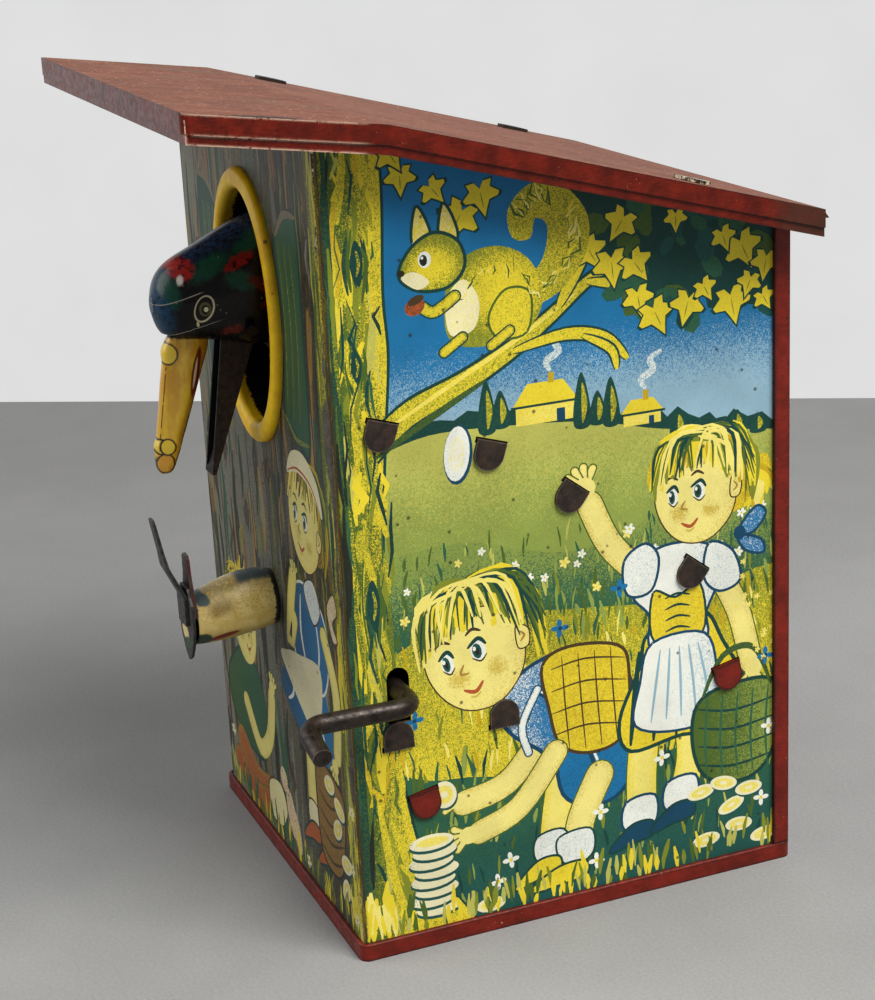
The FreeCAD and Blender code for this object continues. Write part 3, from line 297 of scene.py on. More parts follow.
def bare_finish(name, body, stain, rough, metal):
    """Aged bare metal with brown stains and a fine brushed grain."""
    f = Finish(name)
    blot = f.cloud((0.45, 5, 0.7), 0.35, 0.65)
    colour = f.mix(blot, stain, body)
    colour = f.shade(colour, f.cloud((3.5, 3, 0.7), 0.25, 0.75, 0.65, 1.25))
    shine = f.ramp(f.math("MULTIPLY_ADD", f.edges(0.4), 1.5, f.noise(1.3, 4, 0.7, shift=3)), 0.72, 0.86)
    colour = f.layer(colour, f.mix(0.5, body, srgb("B8AFA2")), shine, 0.6)
    f.surface(colour, f.cloud((1.4, 4), 0.3, 0.7, rough - 0.1, rough + 0.2), metal=metal)
    f.relief(f.noise(2.2, 4, 0.65), 0.3, 0.06)
    return f.material


def roof_finish():
    """Red roof: dull brown-red top with light specks, brick-red rims, dark chips along the folds, and a
    painted highlight line along the near front fold.
    """
    f = Finish("roof_paint")
    top = f.ramp(f.nz, 0.86, 0.95)
    cloud = f.ramp(f.noise(0.16, 5, 0.65, stretch=(1, 0.35, 1)), 0.3, 0.7)
    faded = f.mix(cloud, srgb("5A2D1D"), srgb("75432F"))
    streaks = f.ramp(f.noise(0.9, 5, 0.65, stretch=(1, 0.16, 1)), 0.45, 0.72)
    faded = f.layer(faded, "8C604A", streaks, 0.5)
    grime = f.ramp(f.noise(0.1, 4, 0.6, stretch=(1, 0.5, 1), shift=21), 0.5, 0.75)
    faded = f.layer(faded, "5E4A3C", grime, 0.6)
    flecks = f.either(f.flecks(1.1, 0.2, 0.3), f.flecks(0.55, 0.17, 0.4))
    faded = f.layer(faded, "C0A58F", flecks, 0.65)
    brick = f.mix(f.cloud((0.3, 4, 0.6), 0.3, 0.7), srgb("4C1208"), srgb("6C1B0D"))
    brick = f.shade(brick, f.ramp(f.noise(1.5, 4, 0.6, stretch=(1, 0.4, 2.4)), 0.3, 0.7, 0.8, 1.15))
    hair = f.ramp(f.noise(0.9, 5, 0.5, stretch=(1, 1.4, 0.8), bend=2.5), 0.7, 0.72)
    brick = f.layer(brick, "C87A5C", hair, 0.45)
    colour = f.mix(top, brick, faded)
    near = f.edges(0.9)
    ragged = f.noise(0.55, 6, 0.78, shift=5)
    rear = f.ramp(f.y, -34, 30)
    limit = f.math("SUBTRACT", 0.95, f.math("MULTIPLY", rear, 0.12))
    worn = f.ramp(f.math("MULTIPLY_ADD", near, 1.9, ragged), limit, f.math("ADD", limit, 0.1))
    colour = f.layer(colour, "271713", worn)
    near_side = f.ramp(f.x, 42.8, 44.6)
    burnt = f.both(f.spot((45.2, -49.0), (1.7, 5.2), axes="xy", rough=1.2), top)
    colour = f.layer(colour, "1E1512", burnt)
    corner = f.both(f.spot((43.5, 40.5), (9, 6.5), axes="xy", soft=0.9, rough=1.0), near_side)
    colour = f.layer(colour, "3F2A20", corner, 0.7)
    # painted highlight: a light line along the near side's fold over the front section of the roof
    line = f.both(f.ramp(near, 0.1, 0.2), f.ramp(f.y, -33, -36),
                  f.ramp(f.noise(0.7, 4, 0.8, shift=8), 0.36, 0.46))
    colour = f.layer(colour, "D9B79F", f.both(line, f.ramp(f.nx, 0.25, 0.6)))
    rough = f.math("MULTIPLY_ADD", top, 0.3, f.cloud((0.8, 4), 0.3, 0.7, 0.24, 0.4))
    f.surface(colour, rough, specular=0.2)
    height = f.math("MULTIPLY_ADD", worn, -0.8, f.math("MULTIPLY", f.noise(0.25, 5, 0.6), 4.0))
    f.relief(height, 0.3, 0.1)
    return f.material


def head_finish():
    """Black duck head with airbrushed blue, green and red patches and a painted eye."""
    f = Finish("head_paint")
    ragged = f.noise(1.1, 5, 0.7, shift=6)
    colour = f.mix(f.cloud((0.5, 4), 0.3, 0.7), srgb("0C0A0B"), srgb("150F0F"))
    brow = f.both(f.ramp(f.y, -53.4, -55.6), f.ramp(ragged, 0.3, 0.55))
    colour = f.layer(colour, "173F5C", brow, 0.85)
    crest = f.both(f.ramp(f.nz, 0.55, 0.9), f.ramp(ragged, 0.34, 0.6))
    colour = f.layer(colour, "1B3652", crest, 0.7)
    for place, size, turn in (((-54.6, 109.0), (1.2, 2.4), 10), ((-48.2, 112.6), (3.4, 1.3), 30),
                              ((-43.7, 110.3), (2.4, 1.5), -20), ((-40.7, 116.2), (3.6, 1.2), 28)):
        patch = f.spot(place, size, turn, 0.9, 1.4)
        colour = f.layer(colour, "174733", patch, 0.8)
    for place, size, turn, ink in (((-52.4, 112.4), (1.9, 1.5), 20, "9A1C14"),
                                   ((-43.6, 113.4), (2.6, 0.9), 28, "7E1A13"),
                                   ((-40.6, 109.4), (2.6, 0.9), -35, "4E100D"),
                                   ((-38.4, 106.3), (2.6, 0.8), 12, "480E0B"),
                                   ((-45.2, 102.0), (1.6, 0.9), 10, "5E1C12"),
                                   ((-37.0, 112.5), (2.0, 0.8), 40, "420D0B")):
        patch = f.both(f.spot(place, size, turn, 0.5, 1.3), f.ramp(ragged, 0.36, 0.5))
        colour = f.layer(colour, srgb(ink), patch)
    glint = f.spot((-53.0, 110.9), (0.45, 0.8), -25, 0.8, 0.8)
    colour = f.layer(colour, "E8E4DC", glint, 0.8)
    almond = f.both(f.spot((-49.9, 106.2), (1.55, 2.35), -18, 0.1),
                    f.math("SUBTRACT", 1.0, f.spot((-49.95, 106.25), (1.3, 2.08), -18, 0.1)))
    colour = f.layer(colour, "CFC6A0", almond)
    colour = f.layer(colour, "5A5634", f.spot((-49.8, 106.2), (0.95, 1.2), 0, 0.2))
    colour = f.layer(colour, "14100E", f.spot((-49.75, 106.1), (0.62, 0.82), 0, 0.2))
    colour = f.layer(colour, "D8D2B0", f.spot((-49.65, 106.15), (0.36, 0.42), 0, 0.3))
    colour = f.layer(colour, "CFC6A0", f.spot((-50.9, 103.6), (0.22, 0.5), 15, 0.3))
    for place, size in (((-54.2, 107.6), (3.2, 0.07)), ((-51.8, 102.6), (4.6, 0.06)),
                        ((-51.2, 108.6), (1.4, 0.08))):
        colour = f.layer(colour, "B9B4A6", f.spot(place, size, 18, 0.6), 0.75)
    flake = f.both(f.flecks(0.9, 0.17, 0.16), f.ramp(f.z, 98, 106))
    colour = f.layer(colour, "8C7A66", flake, 0.6)
    f.surface(colour, f.ramp(ragged, 0.3, 0.75, 0.2, 0.34), specular=0.16)
    f.relief(f.noise(0.7, 4, 0.6), 0.12, 0.05)
    return f.material


def beak_finish():
    """Yellow beak that turns orange at the root, with outlined nostril lobes and a red mouth line."""
    f = Finish("beak_paint")
    ragged = f.noise(1.3, 4, 0.7, shift=2)
    down = f.ramp(f.z, 99, 80)
    colour = f.mix(down, srgb("CF941E"), srgb("E6B326"))
    colour = f.layer(colour, "F0CB3C", f.ramp(f.noise(0.5, 4, stretch=(1, 1, 0.4)), 0.4, 0.65), 0.75)
    front = f.math("MULTIPLY_ADD", f.z, -0.1675, f.math("ADD", f.y, 72.1))
    rear = f.math("MULTIPLY_ADD", f.z, 0.364, f.math("MULTIPLY_ADD", f.y, -1.0, -84.37))
    tan = f.both(f.ramp(rear, 1.5, 0.3), f.ramp(f.z, 79, 84))
    colour = f.layer(colour, "8A5416", tan, 0.7)
    edge = f.ramp(f.math("MULTIPLY_ADD", ragged, 0.7, rear), 0.62, 0.5)
    colour = f.layer(colour, "2E1A0E", edge, 0.8)
    colour = f.layer(colour, "6A1710", f.spot((-50.9, 94.8), (4.3, 0.62), 77, 0.3, 0.3))
    colour = f.layer(colour, "D9C7A0", f.spot((-51.0, 94.6), (2.6, 0.2), 77, 0.4))
    dashes = f.both(f.ramp(front, 0.5, 0.42), f.ramp(front, 0.3, 0.38),
                    f.ramp(f.noise(0.6, 3, shift=7), 0.4, 0.48))
    colour = f.layer(colour, "1C120C", f.both(dashes, f.ramp(f.z, 83, 84), f.ramp(f.z, 97, 96)))
    for place, size in (((-55.2, 98.2), (1.3, 1.6)), ((-57.1, 79.6), (1.3, 1.6)),
                        ((-57.7, 82.6), (0.9, 1.1)), ((-56.6, 82.5), (1.1, 1.2))):
        colour = f.layer(colour, "22150C", f.spot(place, (size[0] + 0.3, size[1] + 0.3), 0, 0.2, 0.25))
        inner = srgb("D79B26") if place[1] < 80 else srgb("EBC832")
        colour = f.layer(colour, inner, f.spot(place, size, 0, 0.12, 0.15))
    root = f.ramp(f.math("MULTIPLY_ADD", ragged, 1.6, f.z), 101.2, 101.6)
    colour = f.layer(colour, "140D0B", root)
    colour = f.layer(colour, "4A2E14", f.flecks(0.8, 0.16, 0.3), 0.6)
    f.surface(colour, f.ramp(ragged, 0.3, 0.7, 0.28, 0.42), coat=0.15, coat_rough=0.2)
    f.relief(f.noise(0.9, 4, 0.6), 0.2, 0.06)
    return f.material


def jaw_finish():
    """Brown unpainted lower beak, black inside its channel."""
    f = Finish("jaw_tin")
    colour = f.mix(f.cloud((0.9, 5, 0.7), 0.35, 0.65), srgb("1C130E"), srgb("35261B"))
    colour = f.shade(colour, f.cloud((4.0, 3, 0.7), 0.25, 0.75, 0.7, 1.25))
    colour = f.layer(colour, "0A0706", f.ramp(f.x, 0.9, 0.6))
    f.surface(colour, f.cloud((1.4, 4), 0.3, 0.7, 0.5, 0.7), specular=0.25)
    f.relief(f.noise(2.2, 4, 0.65), 0.3, 0.06)
    return f.material


def shell_finish():
    """Bare tin inside the house; the tabs through the roof are dark, the near one chipped cream."""
    f = Finish("shell_inside")
    blot = f.cloud((0.45, 5, 0.7), 0.35, 0.65)
    colour = f.mix(blot, srgb("3B342C"), srgb("5A544A"))
    over = f.ramp(f.z, 117, 119)
    colour = f.layer(colour, "241A15", over)
    near = f.both(over, f.ramp(f.x, 10, 20), f.cloud((0.8, 4, 0.7), 0.5, 0.42))
    colour = f.layer(colour, "D8CDB0", near)
    f.surface(colour, f.cloud((1.4, 4), 0.3, 0.7, 0.45, 0.65), metal=0.3)
    f.relief(f.noise(2.0, 4, 0.65), 0.2, 0.06)
    return f.material


def ring_finish():
    """Yellow bead, with painted light towards its bottom, painted shade towards its top and on the faces
    that turn inward, and black further inside the tube.
    """
    f = Finish("ring_paint")
    cloud = f.cloud((0.25, 4, 0.6), 0.3, 0.7)
    colour = f.mix(cloud, srgb("DDA908"), srgb("F0C810"))
    # painted light towards the bottom of the bead and painted shade towards its top
    colour = f.shade(colour, f.ramp(f.z, 84, 127, 1.08, 0.8))
    # painted shade on the faces that turn away from the front
    colour = f.layer(colour, "6E5210", f.ramp(f.ny, -0.45, 0.3), 0.55)
    colour = f.layer(colour, "3A2A12", f.flecks(0.45, 0.2, 0.3), 0.8)
    inward = f.math("MULTIPLY_ADD", f.noise(1.6, 4, 0.8), 2.2, f.y)
    colour = f.layer(colour, "0A0807", f.ramp(inward, -38.3, -37.9))
    f.surface(colour, f.cloud((0.8, 4), 0.3, 0.7, 0.35, 0.5), specular=0.25)
    f.relief(f.noise(0.8, 4, 0.6), 0.2, 0.06)
    return f.material


def holder_finish():
    """Cream barrel with brown stipple, a shadowed hollow, painted shade on its underside, and blue, red
    and green touches of paint.
    """
    f = Finish("holder_paint")
    cloud = f.cloud((0.4, 4, 0.6), 0.3, 0.7)
    colour = f.mix(cloud, srgb("D2B45E"), srgb("E6CF86"))
    stipple = f.both(f.cloud((3.0, 4, 0.75), 0.52, 0.6), f.ramp(f.z, 49, 53.5))
    colour = f.layer(colour, "8A5F2A", stipple, 0.55)
    colour = f.layer(colour, "5E431C", f.spot((-50.6, 53.6), (2.2, 1.4), 20, 1.2, 0.6), 0.55)
    # painted shade: the lower part of the barrel is darkened
    colour = f.layer(colour, "6E5018", f.ramp(f.z, 50.0, 47.2), 0.55)
    grime = f.both(f.ramp(f.nz, 0.5, 0.85), f.ramp(f.noise(0.9, 4, 0.7, shift=12), 0.35, 0.5))
    colour = f.layer(colour, "6B6350", grime, 0.6)
    stripe = f.both(f.ramp(f.nz, 0.72, 0.86), f.ramp(f.y, -47.5, -46.3),
                    f.ramp(f.noise(0.8, 3, shift=3), 0.3, 0.4))
    colour = f.layer(colour, "3C4A4E", stripe)
    colour = f.layer(colour, "3F4F50", f.spot((-53.6, 55.0), (1.5, 1.0), -10, 0.4, 0.8))
    colour = f.layer(colour, "7A1712", f.spot((-50.4, 48.1), (3.0, 0.55), 12, 0.3, 0.4))
    colour = f.layer(colour, "1C3823", f.spot((-54.0, 47.9), (1.7, 1.4), 0, 0.3, 0.5))
    rear = f.math("MULTIPLY_ADD", f.noise(1.2, 4), 1.5, f.y)
    colour = f.layer(colour, "1C150F", f.ramp(rear, -40.4, -40.0))
    f.surface(colour, f.cloud((1.0, 4), 0.3, 0.7, 0.32, 0.5), coat=0.1, coat_rough=0.25)
    f.relief(f.noise(0.9, 5, 0.7), 0.3, 0.1)
    return f.material


def leaf_finish():
    """Blackened tin leaf with remains of cream, green and red paint."""
    f = Finish("leaf_tin")
    colour = f.mix(f.cloud((0.9, 4), 0.35, 0.65), srgb("1D1B1A"), srgb("3A3835"))
    colour = f.layer(colour, "DCC98C", f.spot((-1.0, 48.6), (1.9, 1.5), -20, 0.15, 0.5, "xz"))
    colour = f.layer(colour, "234A2C", f.spot((0.2, 46.9), (1.7, 1.0), 10, 0.3, 0.6, "xz"))
    colour = f.layer(colour, "8A2A22", f.spot((-4.3, 50.6), (0.7, 2.0), 10, 0.3, 0.5, "xz"))
    f.surface(colour, f.cloud((1.4, 4), 0.3, 0.7, 0.4, 0.6), metal=0.2)
    f.relief(f.noise(2.0, 4, 0.65), 0.3, 0.06)
    return f.material


def prong_finish():
    """Dark worn tin with a rusty red edge."""
    f = Finish("prong_tin")
    colour = f.mix(f.cloud((0.8, 5, 0.7), 0.35, 0.65), srgb("1F1E1E"), srgb("454443"))
    rust = f.both(f.ramp(f.x, 0.5, 1.4), f.ramp(f.y, -55.4, -55.1),
                  f.ramp(f.noise(1.2, 4, 0.7, shift=8), 0.42, 0.55))
    colour = f.layer(colour, "6E2018", rust, 0.8)
    colour = f.layer(colour, "5E5C58", f.edges(0.35), 1.6)
    f.surface(colour, f.cloud((1.4, 4), 0.3, 0.7, 0.38, 0.6), metal=0.35)
    f.relief(f.noise(2.2, 4, 0.65), 0.35, 0.08)
    return f.material


# ---------------------------------------------------------------- pictures


def smooth(points, closed=False, steps=6):
    """Catmull-Rom curve through the points."""
    count = len(points)
    result = []
    for i in range(count if closed else count - 1):
        if closed:
            a, b, c, d = (points[(i + k - 1) % count] for k in range(4))
        else:
            a, b, c, d = (points[min(max(i + k - 1, 0), count - 1)] for k in range(4))
        for k in range(steps):
            t = k / steps
            result.append(tuple(
                0.5 * (2 * q + (r - p) * t + (2 * p - 5 * q + 4 * r - w) * t * t
                       + (3 * q - p - 3 * r + w) * t ** 3)
                for p, q, r, w in zip(a, b, c, d)))
    if not closed:
        result.append(tuple(points[-1]))
    return result


def oval(centre, size, turn=0.0, start=0.0, end=360.0, count=20):
    c, s = math.cos(math.radians(turn)), math.sin(math.radians(turn))
    result = []
    steps = count if end - start < 360 else count - 1
    for k in range(steps + 1):
        angle = math.radians(start + (end - start) * k / count)
        u, v = size[0] * math.cos(angle), size[1] * math.sin(angle)
        result.append((centre[0] + u * c - v * s, centre[1] + u * s + v * c))
    return result


class Picture:
    """Flat shapes in painter's order: each later shape covers the ones before it."""

    def __init__(self, seed):
        self.shapes = []
        self.dice = random.Random(seed)
        self.place = lambda p: p

    def shape(self, points, ink, under=None, tone=1.0):
        self.shapes.append(([self.place(p) for p in points], ink, under or ink, tone))

    def blob(self, points, ink, under=None, tone=1.0, line=None, width=0.4):
        """Smooth closed shape, with an optional inked outline."""
        curve = smooth(points, True, 5)
        self.shape(curve, ink, under, tone)
        if line:
            self.stroke(curve + curve[:1], width, line, taper=False)

    def oval(self, centre, size, ink, under=None, tone=1.0, line=None, width=0.35, turn=0.0, count=20):
        self.shape(oval(centre, size, turn, count=count), ink, under, tone)
        if line:
            edge = oval(centre, size, turn, count=count)
            self.stroke(edge + edge[:1], width, line, taper=False)

    def stroke(self, points, width, ink, under=None, tone=1.0, taper=True):
        """Line of a given greatest width that thins towards both ends."""
        left, right = [], []
        last = len(points) - 1
        for i, here in enumerate(points):
            a, b = points[max(i - 1, 0)], points[min(i + 1, last)]
            du, dv = b[0] - a[0], b[1] - a[1]
            size = math.hypot(du, dv) or 1
            share = math.sin(math.pi * (0.08 + 0.84 * i / last)) ** 0.7 if taper else 1
            half = width / 2 * share
            left.append((here[0] - dv / size * half, here[1] + du / size * half))
            right.append((here[0] + dv / size * half, here[1] - du / size * half))
        self.shape(left + right[::-1], ink, under, tone)

    def curve(self, points, width, ink, under=None, tone=1.0, steps=5):
        self.stroke(smooth(points, False, steps), width, ink, under, tone)

    def blades(self, count, left, right, low, high, length, width, inks):
        """Grass: thin curved blades that grow upwards."""
        lean = 0.25
        for _ in range(count):
            u, v = self.dice.uniform(left, right), self.dice.uniform(low, high)
            size = self.dice.uniform(*length)
            side = self.dice.uniform(-lean, lean) * size
            points = [(u, v), (u + side * 0.3, v + size * 0.5), (u + side, v + size)]
            self.stroke(points, self.dice.uniform(*width), self.dice.choice(inks))

    def streaks(self, count, left, right, low, high, length, width, inks, wave=0.5, tones=(0.5, 1)):
        """Bark or wood: long wavy upright strokes."""
        for _ in range(count):
            u, v = self.dice.uniform(left, right), self.dice.uniform(low, high)
            size = self.dice.uniform(*length)
            points = []
            for k in range(4):
                points.append((u + self.dice.uniform(-wave, wave), min(v + size * k / 3, high)))
            ink, under = self.dice.choice(inks)
            self.stroke(points, self.dice.uniform(*width), ink, under, self.dice.uniform(*tones))

    def leaf(self, centre, size, turn, ink="yellow", under="gold", tone=0.75):
        """Lobed leaf that hangs from its stalk."""
        lobes = ((0, 0.2), (25, 0.62), (52, 0.9), (72, 0.6), (100, 1.05), (112, 1.0), (138, 0.62),
                 (165, 0.85), (180, 1.3), (195, 0.85), (222, 0.62), (248, 1.0), (260, 1.05), (288, 0.6),
                 (308, 0.9), (335, 0.62))
        points = []
        for angle, reach in lobes:
            a = math.radians(angle + turn + 90)
            points.append((centre[0] + size * reach * math.cos(a),
                           centre[1] + size * reach * math.sin(a)))
        self.shape(points, ink, under, tone)
        tip = math.radians(turn + 270)
        end = (centre[0] + size * 0.8 * math.cos(tip), centre[1] + size * 0.8 * math.sin(tip))
        self.stroke([centre, ((centre[0] + end[0]) / 2, (centre[1] + end[1]) / 2), end], 0.22, "olive")

    def flower(self, centre, size, ink="white", heart="yellow", petals=5):
        for k in range(petals):
            angle = 360 * k / petals + self.dice.uniform(-12, 12)
            a = math.radians(angle)
            petal = (centre[0] + size * 0.55 * math.cos(a), centre[1] + size * 0.55 * math.sin(a))
            self.oval(petal, (size * 0.5, size * 0.3), ink, turn=angle, count=8)
        self.oval(centre, (size * 0.25, size * 0.25), heart, count=6)

    def coin(self, centre, size, turn=0.0):
        """Plain blank coin lying in the grass."""
        self.oval((centre[0] + 0.2, centre[1] - 0.45), (size[0], size[1]), "teal", turn=turn)
        self.oval(centre, size, "cream", "haze", 0.8, turn=turn)
        self.oval(centre, (size[0] * 0.72, size[1] * 0.66), "butter", "yellow", 0.6, "teal", 0.18, turn)
        self.oval(centre, (size[0] * 0.3, size[1] * 0.26), "cream", turn=turn, count=10)

    def knot(self, centre, size, hollow="dark", rim="moss", light="yellow"):
        """Knot hole: a dark hollow inside broken strokes that bend round it."""
        for k in range(8):
            shift = self.dice.uniform(0.7, 1.7) * (1 if k % 2 else -1)
            foot, head = self.dice.uniform(0.3, 1.6), self.dice.uniform(0.3, 1.6)
            points = [(centre[0] + shift * size[0] * 0.6 + self.dice.uniform(-0.5, 0.5),
                       centre[1] - size[1] * foot), (centre[0] + shift * size[0], centre[1]),
                      (centre[0] + shift * size[0] * 0.6 + self.dice.uniform(-0.5, 0.5),
                       centre[1] + size[1] * head)]
            self.curve(points, self.dice.uniform(0.3, 0.7), self.dice.choice([hollow, rim, rim, light]),
                       rim, 0.6)
        self.blob([(centre[0] - size[0] * 0.8, centre[1] - size[1] * 0.1),
                   (centre[0] - size[0] * 0.1, centre[1] + size[1] * 0.9),
                   (centre[0] + size[0] * 0.8, centre[1] + size[1] * 0.2),
                   (centre[0] + size[0] * 0.2, centre[1] - size[1] * 0.9)], hollow, rim, 0.8)
        self.curve([(centre[0] - size[0] * 0.1, centre[1] - size[1] * 0.5),
                    (centre[0] + size[0] * 0.25, centre[1]),
                    (centre[0], centre[1] + size[1] * 0.5)], size[0] * 0.4, rim, light, 0.6)

    def locks(self, count, parting, ends, width, inks, bulge=0.35):
        """Combed hair: curved strokes from a parting to places along a line of ends."""
        for _ in range(count):
            k = self.dice.random() * (len(ends) - 1)
            i = int(k)
            t = k - i
            end = [ends[i][j] * (1 - t) + ends[i + 1][j] * t + self.dice.uniform(-0.1, 0.1)
                   for j in (0, 1)]
            start = [parting[j] + self.dice.uniform(-0.16, 0.16) * (1.6 - j) for j in (0, 1)]
            reach = math.hypot(end[0] - start[0], end[1] - start[1])
            middle = [(start[j] + end[j]) / 2 for j in (0, 1)]
            away = math.hypot(*middle) or 1
            shift = bulge * reach * self.dice.uniform(0.75, 1.15)
            middle = [m + m / away * shift for m in middle]
            self.curve([start, middle, end], self.dice.uniform(*width), self.dice.choice(inks), steps=4)

    def hair(self, count, path, reach, width, inks):
        """Locks that grow out from points of a path in a given direction."""
        bend = 0.4
        for _ in range(count):
            k = self.dice.random() * (len(path) - 1)
            i = int(k)
            t = k - i
            u = path[i][0] * (1 - t) + path[i + 1][0] * t
            v = path[i][1] * (1 - t) + path[i + 1][1] * t
            a = math.radians(reach[0] + (reach[1] - reach[0]) * k / (len(path) - 1))
            size = self.dice.uniform(reach[2], reach[3])
            side = self.dice.uniform(-bend, bend) * size
            middle = (u + size * 0.5 * math.cos(a) - side * math.sin(a),
                      v + size * 0.5 * math.sin(a) + side * math.cos(a))
            end = (u + size * math.cos(a), v + size * math.sin(a))
            self.stroke([(u, v), middle, end], self.dice.uniform(*width), self.dice.choice(inks))


def roof_height(y):
    """Height of the roof's top line at a place from front to back."""
    ends = ROOF_LINE[:2] if y < ROOF_LINE[1][0] else ROOF_LINE[1:]
    (y0, z0), (y1, z1) = ends
    return z0 + (z1 - z0) * (y - y0) / (y1 - y0)


def winding(ring):
    """Twice the signed area of a ring: positive when it runs anticlockwise."""
    return sum(a[0] * b[1] - b[0] * a[1] for a, b in zip(ring, ring[1:] + ring[:1]))


def lay_out(picture, outline, holes):
    """One triangulation of a sheet's outline, its holes and all the shapes on it."""
    points, faces = [], []
    for ring in [outline] + holes + [shape[0] for shape in picture.shapes]:
        faces.append(list(range(len(points), len(points) + len(ring))))
        points += [Vector(p) for p in (ring if winding(ring) > 0 else ring[::-1])]
    levels = [p[0] for p in outline]
    heights = [p[1] for p in outline]
    for i in range(int(max(levels) - min(levels)) // 3):
        for k in range(int(max(heights) - min(heights)) // 3):
            points.append(Vector((min(levels) + 1.7 + 3 * i, min(heights) + 1.7 + 3 * k)))
    flat, _, triangles, _, _, owners = delaunay_2d_cdt(points, [], faces, 1, 1e-4)
    return flat, triangles, owners, 1 + len(holes)


def print_skin(name, picture, sheet, closed_holes, bend, rub):
    """Thin printed sheet in which each triangle takes the colour of the topmost shape.

    bend takes a level and a height on the developed face to a place on the house."""
    flat, triangles, owners, first = sheet
    boxes = []
    for ring, *_ in picture.shapes:
        levels, heights = [p[0] for p in ring], [p[1] for p in ring]
        boxes.append((min(levels), max(levels), min(heights), max(heights)))
    kept, tops = [], []
    for triangle, owner in zip(triangles, owners):
        if 0 not in owner or any(1 <= o < first - closed_holes for o in owner):
            continue
        level = sum(flat[v][0] for v in triangle) / 3
        height = sum(flat[v][1] for v in triangle) / 3
        for top in sorted((o - first for o in owner if o >= first), reverse=True):
            left, right, low, high = boxes[top]
            if left <= level <= right and low <= height <= high:
                break
        kept.append(triangle)
        tops.append(top)
    used = sorted({v for t in kept for v in t})
    index = {v: i for i, v in enumerate(used)}
    mesh = bpy.data.meshes.new(name)
    mesh.from_pydata([bend(*flat[v]) for v in used], [], [[index[v] for v in t] for t in kept])
    corner_uv = np.array([flat[v] for t in kept for v in t])
    tops = np.repeat(np.array(tops), 3)
    inks = np.ones((len(tops), 4))
    unders = np.ones((len(tops), 4))
    tones = np.zeros(len(tops))
    for top in np.unique(tops):
        _, ink, under, tone = picture.shapes[top]
        rows = tops == top
        inks[rows, :3] = INK[ink]
        unders[rows, :3] = INK[under]
        tones[rows] = tone(corner_uv[rows, 0], corner_uv[rows, 1]) if callable(tone) else tone
    for label, values in (("ink", inks), ("under", unders)):
        layer = mesh.attributes.new(label, "FLOAT_COLOR", "CORNER")
        layer.data.foreach_set("color", values.astype(np.float32).ravel())
    for label, values in (("tone", tones), ("rub", rub(corner_uv[:, 0], corner_uv[:, 1]))):
        layer = mesh.attributes.new(label, "FLOAT", "CORNER")
        layer.data.foreach_set("value", np.asarray(values, np.float32))
    mesh.validate()
    piece = bpy.data.objects.new(name, mesh)
    bpy.context.scene.collection.objects.link(piece)
    piece.data.materials.append(PRINTED)
    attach(piece, "house")


def rise(low, high, start=0.0, end=1.0):
    """Tone that changes with the height."""
    return lambda u, v: np.clip(start + (end - start) * (v - low) / (high - low), min(start, end),
                                max(start, end))


def across(left, right, start=0.0, end=1.0):
    """Tone that changes along the level direction."""
    return lambda u, v: np.clip(start + (end - start) * (u - left) / (right - left), min(start, end),
                                max(start, end))


def round_tone(centre, size, middle=1.0, edge=0.3):
    """Tone of a rounded form: one value in the middle and another at its outline."""
    def tone(u, v):
        r = np.hypot((u - centre[0]) / size[0], (v - centre[1]) / size[1])
        return middle + (edge - middle) * np.clip(r, 0, 1) ** 2
    return tone


# ---------------------------------------------------------------- figures


